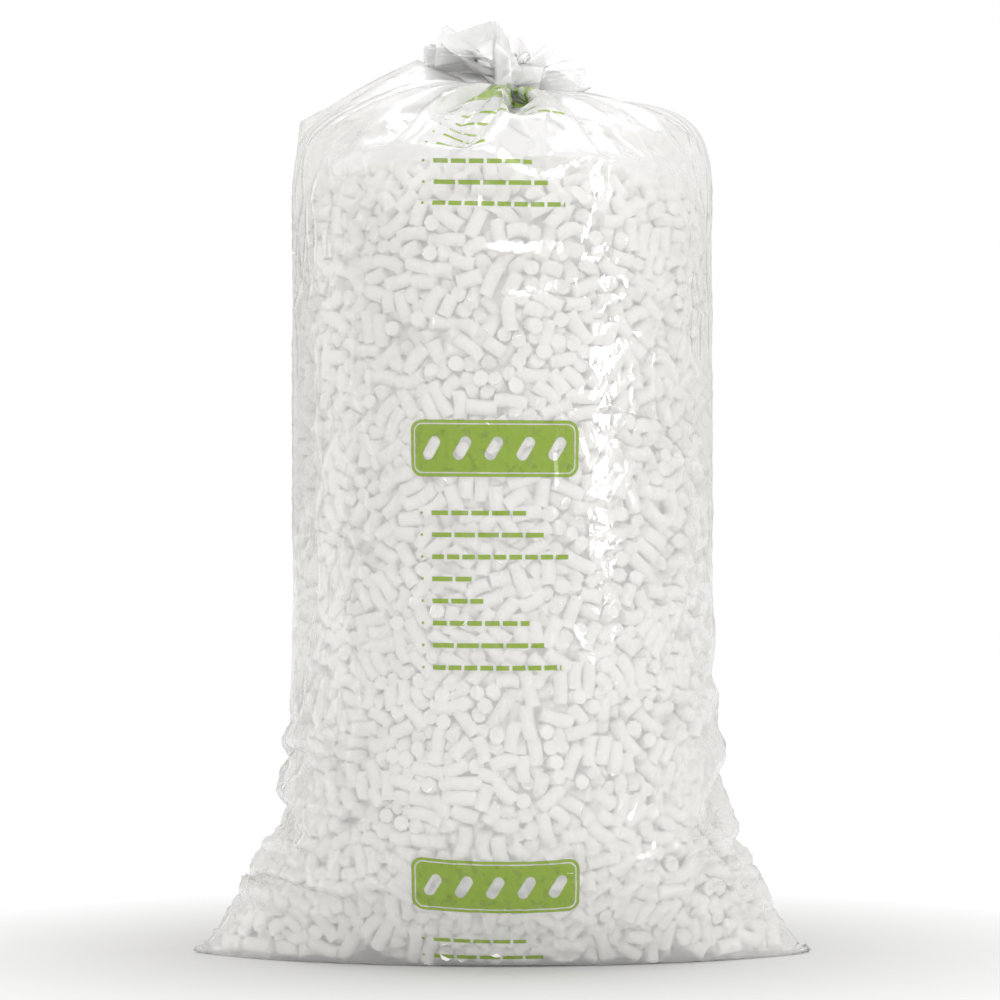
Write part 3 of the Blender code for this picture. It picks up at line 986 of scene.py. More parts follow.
@dataclass(frozen=True)
class FilmFinish:
    """Clear, slightly milky film that has been crumpled, with green print on it.

    It is milkier where it is gathered at the top, and there some light glows through it.
    """

    colour: tuple[float, float, float] = (0.96, 0.96, 0.96)
    ink: tuple[float, float, float] = (0.245, 0.365, 0.042)
    milk: float = 0.38
    top_milk: float = 0.20
    top_start: float = 1.30
    top_end: float = 1.78
    edge_milk: float = 0.05
    roughness: float = 0.10
    gloss: float = 1.25
    most_mirror: float = 0.33
    glow: float = 0.10
    glow_start: float = 1.64
    glow_end: float = 1.80
    crease_milk: float = 0.05
    patch_milk: float = 0.03
    bump: float = 0.0014
    pattern: Print = field(default_factory=Print)

    def material(self, girth: float, printed: bool) -> bpy.types.Material:
        """Makes the film's material.

        Args:
            girth: The tube's girth.
            printed: Whether it carries the print, as the film does on a strip of the front.

        Returns:
            The material.
        """
        tree = ShaderTree("printed_film" if printed else "clear_film")
        flat = tree.node("ShaderNodeUVMap", {"uv_map": "flat"}).outputs[0]
        creases, patches = self.creases(tree, flat)
        mirror = tree.node("ShaderNodeFresnel", IOR=1.5).outputs[0]
        both_sides = tree.math("MULTIPLY", mirror, 2.0)
        both_sides = tree.math("DIVIDE", both_sides, tree.math("ADD", mirror, 1.0))
        mirror = tree.math("MINIMUM", tree.math("MULTIPLY", both_sides, self.gloss), self.most_mirror)
        facing = tree.node("ShaderNodeLayerWeight", Blend=0.5).outputs["Facing"]
        haze = tree.math("MULTIPLY", tree.math("POWER", facing, 3.0), self.edge_milk)
        haze = tree.math("ADD", haze, self.milk)
        upright = tree.node("ShaderNodeSeparateXYZ", Vector=flat).outputs[1]
        crumpled = tree.ramp(upright, self.top_start, self.top_end, 0.0, self.top_milk)
        haze = tree.math("ADD", haze, crumpled)
        haze = tree.math("ADD", haze, tree.math("MULTIPLY", creases, self.crease_milk))
        haze = tree.math("ADD", haze, tree.math("MULTIPLY", patches, self.patch_milk))
        cover, ink = haze, None
        if printed:
            worn = tree.ramp(tree.noise(flat, 60.0, 2.0, "2D"), 0.30, 0.45, 0.72, 0.93)
            ink = tree.math("MULTIPLY", self.pattern.mask(tree, flat, girth), worn)
            cover = tree.math("MAXIMUM", haze, ink)
        bare = tree.math("SUBTRACT", 1.0, cover)
        alpha = tree.math("ADD", cover, tree.math("MULTIPLY", mirror, bare), clamp=True)
        metal = tree.math("DIVIDE", mirror, tree.math("ADD", alpha, 0.001))
        colour = (*self.colour, 1)
        if printed:
            dull = tree.math("SUBTRACT", 1.0, tree.math("MULTIPLY", ink, 0.9))
            metal = tree.math("MULTIPLY", metal, dull, clamp=True)
            colour = tree.mix(tree.math("GREATER_THAN", ink, 0.2), colour, (*self.ink, 1))
        rough = tree.ramp(patches, 0.0, 1.0, self.roughness - 0.03, self.roughness + 0.08)
        ripple = tree.math("MULTIPLY", tree.noise(flat, 90.0, 1.0, "2D"), 0.25)
        height = tree.math("ADD", creases, ripple)
        bump = tree.node("ShaderNodeBump", Strength=1.0, Distance=self.bump, Height=height)
        skin = tree.node(
            "ShaderNodeBsdfPrincipled",
            Base_Color=colour, Metallic=metal, Roughness=rough, Alpha=alpha,
            Normal=bump.outputs[0],
        )
        thin = tree.ramp(upright, self.glow_start, self.glow_end, 0.0, self.glow)
        through = tree.node("ShaderNodeBsdfTranslucent", Color=colour)
        both = tree.node("ShaderNodeMixShader", i0=thin, i1=skin.outputs[0], i2=through.outputs[0])
        return tree.finish(both)

    def creases(
        self, tree: ShaderTree, flat: object
    ) -> tuple[bpy.types.NodeSocket, bpy.types.NodeSocket]:
        """Adds sharp small creases, in patches.

        Args:
            tree: The film's node tree.
            flat: The flat place of each point.

        Returns:
            The height of the creases, and where they are many.
        """
        patches = tree.ramp(tree.noise(flat, 5.0, 1.0, "2D"), 0.42, 0.62)
        drawn = tree.vector("MULTIPLY", flat, (1.0, 0.55, 1.0)).outputs[0]
        cells = tree.node(
            "ShaderNodeTexVoronoi", {"feature": "DISTANCE_TO_EDGE", "voronoi_dimensions": "2D"},
            Vector=drawn, Scale=24.0,
        )
        ridges = tree.ramp(cells.outputs["Distance"], 0.0, 0.16, 1.0, 0.0)
        return tree.math("MULTIPLY", ridges, tree.ramp(patches, 0.0, 1.0, 0.25, 1.0)), patches


@dataclass(frozen=True)
class FoamFinish:
    """Matte white starch foam, each peanut a little different in tone."""

    name: str = "starch_foam"
    light: tuple[float, float, float] = (0.97, 0.958, 0.935)
    dark: tuple[float, float, float] = (0.945, 0.92, 0.875)
    roughness: float = 0.75
    tone_attribute: str = "tone"

    def material(self) -> bpy.types.Material:
        """Makes the foam's material.

        Returns:
            The material.
        """
        tree = ShaderTree(self.name)
        where = tree.node("ShaderNodeTexCoord").outputs["Object"]
        read = {"attribute_type": "GEOMETRY", "attribute_name": self.tone_attribute}
        tone = tree.math("MULTIPLY", tree.node("ShaderNodeAttribute", read).outputs["Fac"], 0.6)
        mottle = tree.noise(where, 70.0, 1.0)
        share = tree.math("ADD", tone, tree.math("MULTIPLY", mottle, 0.4), clamp=True)
        colour = tree.mix(share, (*self.dark, 1), (*self.light, 1))
        height = tree.noise(where, 160.0, 2.0)
        bump = tree.node("ShaderNodeBump", Strength=0.35, Distance=0.0012, Height=height)
        rough = tree.ramp(mottle, 0.3, 0.7, self.roughness - 0.08, self.roughness + 0.08)
        foam = tree.node(
            "ShaderNodeBsdfPrincipled", Base_Color=colour, Roughness=rough, Normal=bump.outputs[0]
        )
        foam.inputs["Specular IOR Level"].default_value = 0.25
        return tree.finish(foam)


@dataclass(frozen=True)
class TapeFinish:
    """Clear sticky tape, a little yellow, with fine scores along it."""

    colour: tuple[float, float, float] = (0.86, 0.86, 0.83)
    cover: float = 0.45

    def material(self) -> bpy.types.Material:
        """Makes the tape's material.

        Returns:
            The material.
        """
        tree = ShaderTree("clear_tape")
        where = tree.node("ShaderNodeTexCoord").outputs["Object"]
        drawn = tree.vector("MULTIPLY", where, (30.0, 30.0, 900.0)).outputs[0]
        scores = tree.noise(drawn, 1.0, 2.0)
        colour = tree.mix(scores, (*self.colour, 1), tuple(0.93 * c for c in self.colour) + (1,))
        alpha = tree.ramp(scores, 0.3, 0.7, self.cover - 0.08, self.cover + 0.08)
        rough = tree.ramp(scores, 0.3, 0.7, 0.16, 0.30)
        bump = tree.node("ShaderNodeBump", Strength=0.3, Distance=0.0004, Height=scores)
        tape = tree.node(
            "ShaderNodeBsdfPrincipled",
            Base_Color=colour, Roughness=rough, Alpha=alpha, Normal=bump.outputs[0],
        )
        return tree.finish(tape)


class FilmRoom:
    """How far the film stands from the bag's axis, by direction and height."""

    def __init__(self, film: bpy.types.Mesh, top: float, turns: int = 160, heights: int = 150) -> None:
        """Measures the film.

        Args:
            film: The film's mesh.
            top: The height up to which it is measured.
            turns: The number of directions.
            heights: The number of heights.
        """
        self.top, self.turns, self.heights = top, turns, heights
        points = np.empty(len(film.vertices) * 3, dtype=np.float32)
        film.vertices.foreach_get("co", points)
        points = points.reshape(-1, 3).astype(float)
        points = points[(points[:, 2] > 0.02) & (points[:, 2] < top)]
        row, column = self.cell(points)
        self.reach = np.full((turns, heights), 9.0)
        np.minimum.at(self.reach, (row, column), np.hypot(points[:, 0], points[:, 1]))
        near = [np.roll(self.reach, k, 0) for k in (-1, 0, 1)]
        self.reach = np.minimum.reduce(near)
        self.reach[:, 1:-1] = np.minimum.reduce(
            [self.reach[:, :-2], self.reach[:, 1:-1], self.reach[:, 2:]]
        )

    def cell(self, points: np.ndarray) -> tuple[np.ndarray, np.ndarray]:
        """Finds the part of the film that each point lies behind.

        Args:
            points: The points, as an array by 3.

        Returns:
            The number of each point's direction and of its height.
        """
        turn = np.arctan2(points[:, 1], points[:, 0]) / (2 * math.pi) + 0.5
        row = np.minimum((turn * self.turns).astype(int), self.turns - 1)
        column = np.clip((points[:, 2] / self.top * self.heights).astype(int), 0, self.heights - 1)
        return row, column

    def push_in(self, spheres: np.ndarray, radius: float, gap: float = 0.0035) -> None:
        """Moves spheres that reach through the film towards the bag's axis.

        Args:
            spheres: The middles of the spheres, changed in place.
            radius: Their radius.
            gap: The least gap between a sphere and the film.
        """
        far = np.hypot(spheres[:, 0], spheres[:, 1])
        row, column = self.cell(spheres)
        over = np.clip(far + radius + gap - self.reach[row, column], 0, 0.02)
        over[spheres[:, 2] < 0.05] = 0
        share = 1 - over / (far + 1e-6)
        spheres[:, 0] *= share
        spheres[:, 1] *= share


class Band(Enum):
    """The bands of the fill, each a piece, by the height where the band ends."""

    foot = 0.20
    lower = 0.50
    middle = 0.80
    upper = 1.06
    top = 2.0


@dataclass
class PeanutPack:
    """Loose peanuts lying against the film, pushed apart until none overlap much."""

    shape: BagShape
    count: int = 4700
    radius: float = 0.0112
    shortest: float = 0.028
    longest: float = 0.058
    level: float = 1.198
    dome: float = 0.12
    depth: float = 0.046
    film_gap: float = 0.0070
    floor_gap: float = 0.007
    lid: float = 0.004
    dome_powers: tuple[float, float] = (3.0, 2.4)
    tries: int = 60000
    lying: float = 0.7
    passes: int = 70
    seed: int = 17
    room: "FilmRoom | None" = None

    def side_depth(self, points: np.ndarray) -> tuple[np.ndarray, ...]:
        """Measures the level depth of points below the fill's side, and the way out."""
        low, high = self.level - self.dome, self.level + self.lid
        return self.shape.limits(points, self.film_gap, low, high, self.dome_powers)[1:]

    def inward(self, points: np.ndarray) -> tuple[np.ndarray, np.ndarray]:
        """Measures the depth of points below the fill's skin.

        Args:
            points: The points, as an array by 3.

        Returns:
            Each point's depth, and the direction straight out of the fill.
        """
        depth, out_x, out_y = self.side_depth(points)
        z = points[:, 2]
        depth = depth / self.shape.lean(z, out_x, out_y)
        ways = np.stack([out_x, out_y, 0 * z], -1)
        floor_depth = z - FLOOR_SKIN - self.floor_gap
        x, y = points[:, 0], points[:, 1]
        roof = self.level - 0.024 + 0.018 * np.sin(9 * x + 1.0) * np.cos(11 * y + 0.4)
        roof += 0.008 * np.sin(31 * x + 17 * y) - 0.05 * x
        nearest = depth.copy()
        for other, way in ((floor_depth, (0, 0, -1)), (roof - z, (0, 0, 1))):
            nearer = other < nearest
            nearest[nearer] = other[nearer]
            ways[nearer] = way
        return nearest, ways

    def scatter(self, chance: np.random.Generator) -> np.ndarray:
        """Drops the peanuts' middles at random into the outer layers of the fill.

        Args:
            chance: The source of random numbers.

        Returns:
            The middle of each peanut.
        """
        side, front = self.shape.radius + self.shape.ear_reach, self.shape.radius
        low, high = (-side, -front, 0), (side, front, self.level)
        found = np.empty((0, 3))
        while len(found) < self.count:
            tries = chance.uniform(low, high, (self.tries, 3))
            depth, _ = self.inward(tries)
            keep = (depth > 0.8 * self.radius) & (depth < self.depth)
            lowered = (tries[:, 2] < 0.05) & (depth > 0.03) & (self.is_under(tries))
            found = np.concatenate([found, tries[keep & ~lowered]])
        return found[: self.count]

    def is_under(self, points: np.ndarray) -> np.ndarray:
        """Marks points of the base that lie well in from its edge.

        Args:
            points: The points, as an array by 3.

        Returns:
            A mask of those points.
        """
        side = points.copy()
        side[:, 2] = 0.05
        return self.side_depth(side)[0] > 0.09

    def near_pairs(self, spheres: np.ndarray, reach: float) -> tuple[np.ndarray, np.ndarray]:
        """Finds all pairs of spheres whose middles are near each other.

        Args:
            spheres: The middle of each sphere.
            reach: The most that two middles may be apart.

        Returns:
            The numbers of the first and the second sphere of each pair.
        """
        cell = np.floor((spheres - spheres.min(0)) / reach).astype(np.int64) + 1
        size = cell.max(0) + 2
        key = (cell[:, 0] * size[1] + cell[:, 1]) * size[2] + cell[:, 2]
        order = np.argsort(key, kind="stable")
        ordered = key[order]
        firsts, seconds = [], []
        for dx in (-1, 0, 1):
            for dy in (-1, 0, 1):
                beside = key + (dx * size[1] + dy) * size[2]
                start = np.searchsorted(ordered, beside - 1, "left")
                stop = np.searchsorted(ordered, beside + 1, "right")
                many = stop - start
                first = np.repeat(np.arange(len(key)), many)
                offset = np.arange(many.sum()) - np.repeat(np.cumsum(many) - many, many)
                second = order[np.repeat(start, many) + offset]
                keep = first < second
                firsts.append(first[keep])
                seconds.append(second[keep])
        first, second = np.concatenate(firsts), np.concatenate(seconds)
        near = ((spheres[first] - spheres[second]) ** 2).sum(1) < reach**2
        return first[near], second[near]

    def pack(self) -> tuple[np.ndarray, np.ndarray, np.ndarray]:
        """Pushes the peanuts apart and into the fill.

        Returns:
            The middle, the long axis and the whole length of each peanut.
        """
        chance = np.random.default_rng(self.seed)
        middle = self.scatter(chance)
        axis = chance.normal(size=(self.count, 3))
        _, out = self.inward(middle)
        axis -= self.lying * (axis * out).sum(1, keepdims=True) * out
        axis /= np.linalg.norm(axis, axis=1, keepdims=True)
        length = self.shortest + (self.longest - self.shortest) * chance.beta(1.6, 2.2, self.count)
        half = length / 2 - self.radius
        owner = np.repeat(np.arange(self.count), 3)
        for turn in range(self.passes):
            offset = np.stack([-half, 0 * half, half], 1)[:, :, None] * axis[:, None, :]
            spheres = (middle[:, None, :] + offset).reshape(-1, 3)
            if turn % 4 == 0:
                first, second = self.near_pairs(spheres, 2.9 * self.radius)
                keep = owner[first] != owner[second]
                first, second = first[keep], second[keep]
            way = spheres[second] - spheres[first]
            apart = np.sqrt((way**2).sum(1)) + 1e-9
            close = apart < 2 * self.radius
            near_first, near_second = first[close], second[close]
            push = (0.5 * (2 * self.radius - apart[close]) / apart[close])[:, None] * way[close]
            move = np.zeros_like(spheres)
            tally = np.zeros(len(spheres)) + 0.6
            for k in range(3):
                move[:, k] -= np.bincount(near_first, push[:, k], len(spheres))
                move[:, k] += np.bincount(near_second, push[:, k], len(spheres))
            tally += 0.4 * np.bincount(near_first, minlength=len(spheres))
            tally += 0.4 * np.bincount(near_second, minlength=len(spheres))
            spheres = spheres + move / tally[:, None]
            for _ in range(2):
                depth, ways = self.inward(spheres)
                lack = np.clip(self.radius - depth, 0, 0.02)
                spheres -= lack[:, None] * ways
            if self.room is not None:
                self.room.push_in(spheres, self.radius)
            spheres = spheres.reshape(-1, 3, 3)
            middle = spheres.mean(1)
            depth, ways = self.inward(middle)
            middle += (0.15 * np.clip(depth - 0.6 * self.depth, 0, 0.01))[:, None] * ways
            axis = spheres[:, 2] - spheres[:, 0] + 1e-6
            axis /= np.linalg.norm(axis, axis=1, keepdims=True)
        return middle, axis, length


class PeanutTree(NodeKit):
    """The geometry nodes that put a bent roll of foam on every point of a mesh."""

    rings = 8

    def __init__(self, name: str, radius: float, bends: Sequence[float]) -> None:
        """Builds the tree.

        Args:
            name: The tree's name.
            radius: The radius of a peanut.
            bends: The bend of each kind of peanut.
        """
        super().__init__(bpy.data.node_groups.new(name, "GeometryNodeTree"))
        face = self.tree.interface
        face.new_socket("Geometry", in_out="INPUT", socket_type="NodeSocketGeometry")
        self.radius = face.new_socket("Radius", in_out="INPUT", socket_type="NodeSocketFloat")
        self.foam = face.new_socket("Foam", in_out="INPUT", socket_type="NodeSocketMaterial")
        self.seed = face.new_socket("Seed", in_out="INPUT", socket_type="NodeSocketInt")
        face.new_socket("Geometry", in_out="OUTPUT", socket_type="NodeSocketGeometry")
        self.radius.default_value = radius
        self.build(bends)

    def roll(self, bend: float, radius: bpy.types.NodeSocket) -> bpy.types.NodeSocket:
        """Adds one kind of peanut: a roll of unit half length along X with rounded ends.

        Args:
            bend: How far the roll's middle stands aside.
            radius: The radius of the roll.

        Returns:
            The roll's geometry.
        """
        line = self.node("GeometryNodeCurvePrimitiveLine", Start=(-1, 0, 0), End=(1, 0, 0))
        stations = self.node("GeometryNodeResampleCurve", Curve=line.outputs[0], Count=self.rings)
        along = self.node("GeometryNodeSplineParameter").outputs["Factor"]
        turn = self.math("MULTIPLY_ADD", along, math.pi, -math.pi / 2)
        eased = self.math("SINE", turn)
        sag = self.math("MULTIPLY_ADD", self.math("POWER", eased, 2.0), -bend / 2, bend / 6)
        place = self.node("ShaderNodeCombineXYZ", X=eased, Z=sag).outputs[0]
        bent = self.node("GeometryNodeSetPosition", i0=stations.outputs[0], Position=place)
        blunt = self.math("POWER", self.math("ABSOLUTE", eased), 5.0)
        taper = self.math("SQRT", self.math("MULTIPLY_ADD", blunt, -0.9, 1.0))
        shaped = self.node("GeometryNodeSetCurveRadius", Curve=bent.outputs[0], Radius=taper)
        ring = self.node("GeometryNodeCurvePrimitiveCircle", Resolution=8, Radius=radius)
        tube = self.node(
            "GeometryNodeCurveToMesh",
            Curve=shaped.outputs[0], Profile_Curve=ring.outputs[0], Fill_Caps=True,
        )
        return self.node("GeometryNodeGeometryToInstance", i0=tube.outputs[0]).outputs[0]

    def build(self, bends: Sequence[float]) -> None:
        """Joins the kinds of peanut, instances them on the points and makes them real.

        Args:
            bends: The bend of each kind of peanut.
        """
        given = self.node("NodeGroupInput")
        kinds = self.node("GeometryNodeJoinGeometry")
        for bend in bends:
            self.tree.links.new(self.roll(bend, given.outputs["Radius"]), kinds.inputs[0])
        read, kind = "GeometryNodeInputNamedAttribute", {"data_type": "FLOAT_VECTOR"}
        turn, size = (self.node(read, kind, Name=name) for name in ("turn", "size"))
        seed = given.outputs["Seed"]
        pick = self.node("FunctionNodeRandomValue", {"data_type": "INT"}, Seed=seed)
        whole = [s for s in pick.inputs if s.type == "INT" and s.name in ("Min", "Max")]
        whole[0].default_value, whole[1].default_value = 0, len(bends) - 1
        index = next(s for s in pick.outputs if s.type == "INT")
        placed = self.node(
            "GeometryNodeInstanceOnPoints",
            Points=given.outputs["Geometry"], Instance=kinds.outputs[0], Pick_Instance=True,
            Instance_Index=index, Rotation=turn.outputs[0], Scale=size.outputs[0],
        )
        real = self.node("GeometryNodeRealizeInstances", Geometry=placed.outputs[0])
        smooth = self.node("GeometryNodeSetShadeSmooth", Geometry=real.outputs[0])
        dressed = self.node(
            "GeometryNodeSetMaterial", Geometry=smooth.outputs[0], Material=given.outputs["Foam"]
        )
        self.join(dressed, self.node("NodeGroupOutput"))

    def apply(
        self, points: bpy.types.Mesh, name: str, foam: bpy.types.Material, seed: int
    ) -> bpy.types.Object:
        """Puts peanuts on the points and returns them as a plain object.

        Args:
            points: A mesh of points with their turn, size and tone.
            name: The piece's name.
            foam: The foam's material.
            seed: The seed of the choice among the kinds.

        Returns:
            The linked object.
        """
        carrier = bpy.data.objects.new(f"{name}_points", points)
        bpy.context.scene.collection.objects.link(carrier)
        modifier = carrier.modifiers.new("peanuts", "NODES")
        modifier.node_group = self.tree
        modifier[self.radius.identifier] = self.radius.default_value
        modifier[self.foam.identifier] = foam
        modifier[self.seed.identifier] = seed
        graph = bpy.context.evaluated_depsgraph_get()
        mesh = bpy.data.meshes.new_from_object(carrier.evaluated_get(graph))
        carrier.modifiers.clear()
        bpy.data.objects.remove(carrier)
        return add_piece(name, mesh, foam)


def add_piece(name: str, mesh: bpy.types.Mesh, material: bpy.types.Material) -> bpy.types.Object:
    """Links a mesh as a piece of the object.

    Args:
        name: The piece's name.
        mesh: Its mesh, already in place.
        material: Its finish.

    Returns:
        The object.
    """
    mesh.name = name
    if not mesh.materials:
        mesh.materials.append(material)
    piece = bpy.data.objects.new(name, mesh)
    bpy.context.scene.collection.objects.link(piece)
    return piece


@dataclass
class Fill:
    """The peanuts in the bag: loose ones where they show, and a plain core inside them."""

    pack: PeanutPack
    bends: tuple[float, ...] = (0.002, 0.007, 0.011)
    core_depth: float = 0.033
    core_columns: int = 72
    core_rows: int = 70
    core_foot: float = 0.030
    core_dome: float = 0.09
    core_ear_gap: float = 0.05
    core_seed: int = 5
    point_seed: int = 31

    def points(
        self, middle: np.ndarray, axis: np.ndarray, length: np.ndarray, seed: int
    ) -> bpy.types.Mesh:
        """Makes a mesh of points that say how each peanut lies.

        Args:
            middle: The middle of each peanut.
            axis: The direction of its long axis.
            length: Its whole length.
            seed: The seed of its roll and tone.

        Returns:
            The mesh of points.
        """
        chance = np.random.default_rng(seed)
        mesh = bpy.data.meshes.new("points")
        mesh.vertices.add(len(middle))
        mesh.vertices.foreach_set("co", middle.astype(np.float32).ravel())
        spin = chance.uniform(0, 2 * math.pi, len(middle))
        turns = np.empty((len(middle), 3))
        for k, way in enumerate(axis):
            lie = Vector(way).to_track_quat("X", "Z").to_matrix()
            turns[k] = (lie @ Matrix.Rotation(spin[k], 3, "X")).to_euler("XYZ")
        thick = chance.uniform(0.93, 1.05, len(middle))
        sizes = np.stack([length / 2, thick, thick], -1)
        tones = chance.uniform(0, 1, len(middle))
        for name, kind, part, values in (
            ("turn", "FLOAT_VECTOR", "vector", turns),
            ("size", "FLOAT_VECTOR", "vector", sizes),
            ("tone", "FLOAT", "value", tones),
        ):
            data = mesh.attributes.new(name, kind, "POINT").data
            data.foreach_set(part, values.astype(np.float32).ravel())
        return mesh

    def build(self, foam: bpy.types.Material) -> list[bpy.types.Object]:
        """Makes a piece of loose peanuts for every band of the fill.

        Args:
            foam: The foam's material.

        Returns:
            The pieces.
        """
        middle, axis, length = self.pack.pack()
        tree = PeanutTree("peanut_tree", self.pack.radius, self.bends)
        made, low = [], -1.0
        for number, band in enumerate(Band):
            inside = (middle[:, 2] >= low) & (middle[:, 2] < band.value)
            seed = self.point_seed + number
            points = self.points(middle[inside], axis[inside], length[inside], seed)
            made.append(tree.apply(points, f"peanuts_{band.name}", foam, number))
            LOG.info("%s: %d peanuts", made[-1].name, int(inside.sum()))
            low = band.value
        return made

    def core(self, foam: bpy.types.Material) -> bpy.types.Object:
        """Makes the closed core of packed peanuts that lies behind the loose ones.

        Args:
            foam: The foam's material.

        Returns:
            The piece.
        """
        shape, pack = self.pack.shape, self.pack
        chance = np.random.default_rng(self.core_seed)
        turn = 2 * math.pi * np.arange(self.core_columns) / self.core_columns
        low, high = self.core_foot, pack.level - self.core_depth
        rings = []
        for j in range(self.core_rows):
            height = low + (high - low) * j / (self.core_rows - 1)
            flare = shape.flare(np.array(height))
            past = max(0.0, (height - high + self.core_dome) / self.core_dome)
            dome = math.sqrt(max(0.0, 1 - past**2.2 * 0.96))
            ear = shape.ear_reach - self.core_ear_gap
            width = (shape.radius - self.core_depth + ear * flare) * dome
            depth = (shape.radius - self.core_depth - shape.taper(np.array(height))) * dome
            lump = chance.uniform(-0.006, 0.004, self.core_columns)
            x = (width + lump) * np.cos(turn)
            rise, power = np.sin(turn), 1 + shape.pinch * flare
            y = -(depth + lump) * np.sign(rise) * np.abs(rise) ** power
            rings.append(np.stack([x, y, np.full_like(x, height)], -1))
        points = np.concatenate(rings + [np.array([[0, 0, low], [0, 0, high + 0.004]])])
        faces = []
        n = self.core_columns
        for j in range(self.core_rows - 1):
            for k in range(n):
                after = (k + 1) % n
                a, b, c, d = j * n + k, j * n + after, (j + 1) * n + after, (j + 1) * n + k
                faces += [(d, c, b), (d, b, a)]
        bottom, top = len(points) - 2, len(points) - 1
        last = (self.core_rows - 1) * n
        for k in range(n):
            after = (k + 1) % n
            faces += [(bottom, k, after), (top, last + after, last + k)]
        mesh = mesh_from_arrays("fill_core", points, np.array(faces))
        return add_piece("fill_core", mesh, foam)


@dataclass
class Bag:
    """The whole bag: film, tie and fill."""

    shape: BagShape = field(default_factory=BagShape)
    film: FilmFinish = field(default_factory=FilmFinish)
    foam: FoamFinish = field(default_factory=FoamFinish)
    # The core is the same starch foam, coloured darker and warmer: painted shade for the deep gaps
    # between the loose peanuts.
    core_foam_painted_shade: FoamFinish = field(
        default_factory=lambda: FoamFinish("core_foam_painted_shade", (0.97, 0.935, 0.885), (0.94, 0.89, 0.82))
    )
    tape: TapeFinish = field(default_factory=TapeFinish)

    def build_film(self) -> bpy.types.Object:
        """Makes the gathered film.

        Returns:
            The piece.
        """
        tube = FilmTube(self.shape)
        girth = self.shape.girth
        piece = add_piece("film_tube", tube.mesh("film_tube"), self.film.material(girth, False))
        piece.data.materials.append(self.film.material(girth, True))
        self.mark_print(piece.data)
        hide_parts("bag_film")
        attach(piece, BODY)
        return piece

    def mark_print(self, film: bpy.types.Mesh) -> None:
        """Gives the strip of film that carries the print its own material.

        Args:
            film: The film's mesh, changed in place.
        """
        uv = np.empty(len(film.loops) * 2, dtype=np.float32)
        film.uv_layers["flat"].uv.foreach_get("vector", uv)
        across = uv.reshape(-1, 4, 2)[:, :, 0].mean(1) - self.shape.girth / 4
        strip = np.abs(across) < self.film.pattern.strip / 2
        film.polygons.foreach_set("material_index", strip.astype(np.int32))

    def build_fill(self, film: bpy.types.Object) -> list[bpy.types.Object]:
        """Makes the peanuts and the core behind them.

        Args:
            film: The film that holds them.

        Returns:
            The pieces.
        """
        pack = PeanutPack(self.shape)
        pack.room = FilmRoom(film.data, pack.level)
        fill = Fill(pack)
        pieces = fill.build(self.foam.material())
        # The core carries painted shade: its foam is darker and warmer than the loose peanuts' foam.
        core = fill.core(self.core_foam_painted_shade.material())
        singles = sorted(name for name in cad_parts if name.startswith("peanut_"))
        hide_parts("loose_fill")
        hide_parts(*singles)
        for piece in [*pieces, core]:
            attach(piece, BODY)
        return [*pieces, core]

    def dress_tie(self) -> None:
        """Gives the tape round the neck its finish."""
        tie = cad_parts["neck_tie"]
        tie.data.materials.clear()
        tie.data.materials.append(self.tape.material())


@dataclass(frozen=True)
class Softbox:
    """A rectangular soft lamp: its place, the point that it faces, its size and its watts."""

    name: str
    place: tuple[float, float, float]
    aim: tuple[float, float, float]
    size: tuple[float, float]
    power: float

    def hang(self, colour: Sequence[float]) -> None:
        """Hangs the lamp.

        Args:
            colour: The colour of its light.
        """
        light = bpy.data.lights.new(self.name, "AREA")
        light.shape = "RECTANGLE"
        light.size, light.size_y = self.size
        light.energy = self.power
        light.color = colour
        lamp = bpy.data.objects.new(self.name, light)
        bpy.context.scene.collection.objects.link(lamp)
        lamp.location = self.place
        way = Vector(self.aim) - Vector(self.place)
        lamp.rotation_euler = way.to_track_quat("-Z", "Y").to_euler()


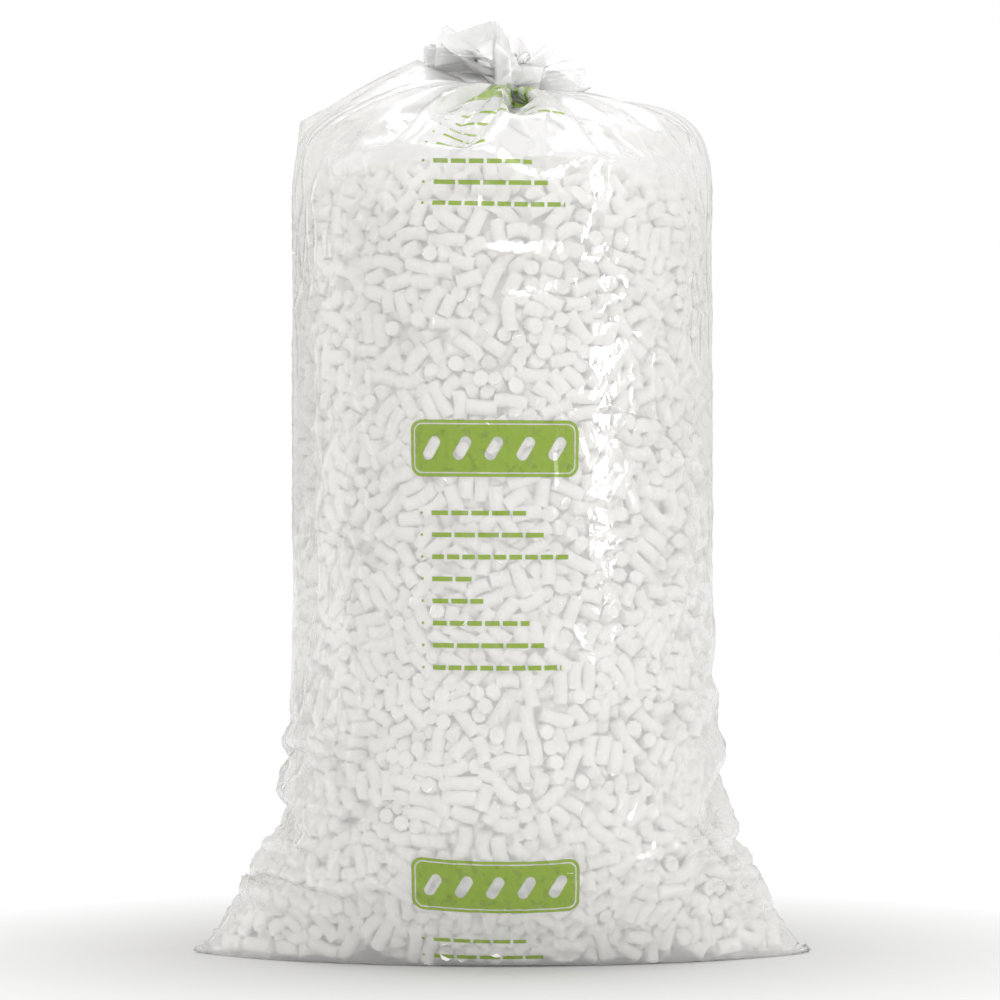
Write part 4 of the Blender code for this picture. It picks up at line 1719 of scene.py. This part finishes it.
@dataclass
class Studio:
    """The pale floor, the backdrop, the lamps and the camera."""

    target: tuple[float, float, float] = (-0.0035, 0.0, 0.682)
    distance: float = 6.5
    camera_height: float = 0.70
    view_height: float = 1.506
    ambient: float = 0.79
    ambient_colour: tuple[float, float, float] = (1.0, 0.982, 0.950)
    lamp_colour: tuple[float, float, float] = (0.965, 0.985, 1.0)
    lamps: tuple[Softbox, ...] = (
        Softbox("main_softbox", (2.35, -1.75, 1.15), (0, 0, 0.85), (0.42, 1.1), 10),
        Softbox("left_softbox", (-2.8, 0.5, 0.9), (0, 0, 0.6), (1.2, 1.6), 3),
        Softbox("front_softbox", (0.1, -3.6, 3.0), (0, 0, 0.5), (2.6, 1.4), 42),
        Softbox("overhead", (0.2, -0.3, 3.0), (0, 0, 0.6), (1.8, 1.4), 18),
    )
    floor_half: float = 30.0
    fade_start: float = 0.33
    fade_end: float = 1.05
    least_fade: float = 0.05
    paper: tuple[float, float] = (0.63, 0.65)
    paper_for_light: float = 0.90

    def floor_material(self) -> bpy.types.Material:
        """Makes the floor's finish: pale paper near the bag that fades into the backdrop.

        Returns:
            The material.
        """
        tree = ShaderTree("pale_floor")
        where = tree.node("ShaderNodeTexCoord").outputs["Object"]
        far = tree.vector("LENGTH", where).outputs["Value"]
        fade = tree.ramp(far, self.fade_start, self.fade_end, self.least_fade, 1.0)
        grain = tree.noise(where, 300.0, 2.0)
        seen = tree.node("ShaderNodeLightPath")
        direct = tree.math("MAXIMUM", seen.outputs["Is Camera Ray"], seen.outputs["Is Glossy Ray"])
        direct = tree.math("MAXIMUM", direct, seen.outputs["Is Transmission Ray"])
        dark, light, bounced = (
            (tone, tone, tone, 1) for tone in (*self.paper, self.paper_for_light)
        )
        colour = tree.mix(direct, bounced, tree.mix(grain, dark, light))
        paper = tree.node("ShaderNodeBsdfDiffuse", Color=colour)
        glow = tree.node("ShaderNodeEmission", Strength=1.0)
        share = tree.math("MULTIPLY", fade, direct)
        both = tree.node("ShaderNodeMixShader", i0=share, i1=paper.outputs[0], i2=glow.outputs[0])
        return tree.finish(both)

    def build_floor(self) -> None:
        """Lays a wide floor."""
        half = self.floor_half
        corners = np.array([(-half, -half, 0), (half, -half, 0), (half, half, 0), (-half, half, 0)])
        mesh = mesh_from_arrays("floor", corners, np.array([[0, 1, 2, 3]]))
        floor = add_piece("floor", mesh, self.floor_material())

    def build_world(self) -> None:
        """Lights the room evenly, and shows white behind the bag."""
        world = bpy.data.worlds.new("studio")
        bpy.context.scene.world = world
        world.use_nodes = True
        kit = NodeKit(world.node_tree)
        seen = kit.node("ShaderNodeLightPath")
        direct = kit.math("MAXIMUM", seen.outputs["Is Camera Ray"], seen.outputs["Is Transmission Ray"])
        room = kit.node("ShaderNodeBackground", Color=(*self.ambient_colour, 1), Strength=self.ambient)
        white = kit.node("ShaderNodeBackground", Color=(1, 1, 1, 1), Strength=1.0)
        both = kit.node("ShaderNodeMixShader", i0=direct, i1=room.outputs[0], i2=white.outputs[0])
        kit.join(both, kit.node("ShaderNodeOutputWorld"))

    def build_lamps(self) -> None:
        """Hangs the lamps."""
        for lamp in self.lamps:
            lamp.hang(self.lamp_colour)

    def build_camera(self) -> None:
        """Sets up the camera at the photograph's viewing angle."""
        data = bpy.data.cameras.new("camera")
        data.sensor_width = 36
        data.lens = data.sensor_width * self.distance / self.view_height
        camera = bpy.data.objects.new("camera", data)
        bpy.context.scene.collection.objects.link(camera)
        place = Vector((self.target[0], -self.distance, self.camera_height))
        camera.location = place
        camera.rotation_euler = (Vector(self.target) - place).to_track_quat("-Z", "Y").to_euler()
        bpy.context.scene.camera = camera

    def build(self) -> None:
        """Sets up everything round the bag."""
        scene = bpy.context.scene
        scene.view_settings.view_transform = "Standard"
        scene.cycles.transparent_max_bounces = 24
        scene.cycles.max_bounces = 6
        scene.cycles.diffuse_bounces = 3
        self.build_floor()
        self.build_world()
        self.build_lamps()
        self.build_camera()


def main() -> None:
    """Builds the studio and the bag, and reports each piece."""
    logging.basicConfig(level=logging.INFO, format="%(name)s: %(message)s")
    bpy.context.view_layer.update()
    Studio().build()
    bag = Bag()
    film = bag.build_film()
    LOG.info("%s: %d faces", film.name, len(film.data.polygons))
    for piece in bag.build_fill(film):
        LOG.info("%s: %d faces", piece.name, len(piece.data.polygons))
    bag.dress_tie()


if __name__ == "__main__":
    main()
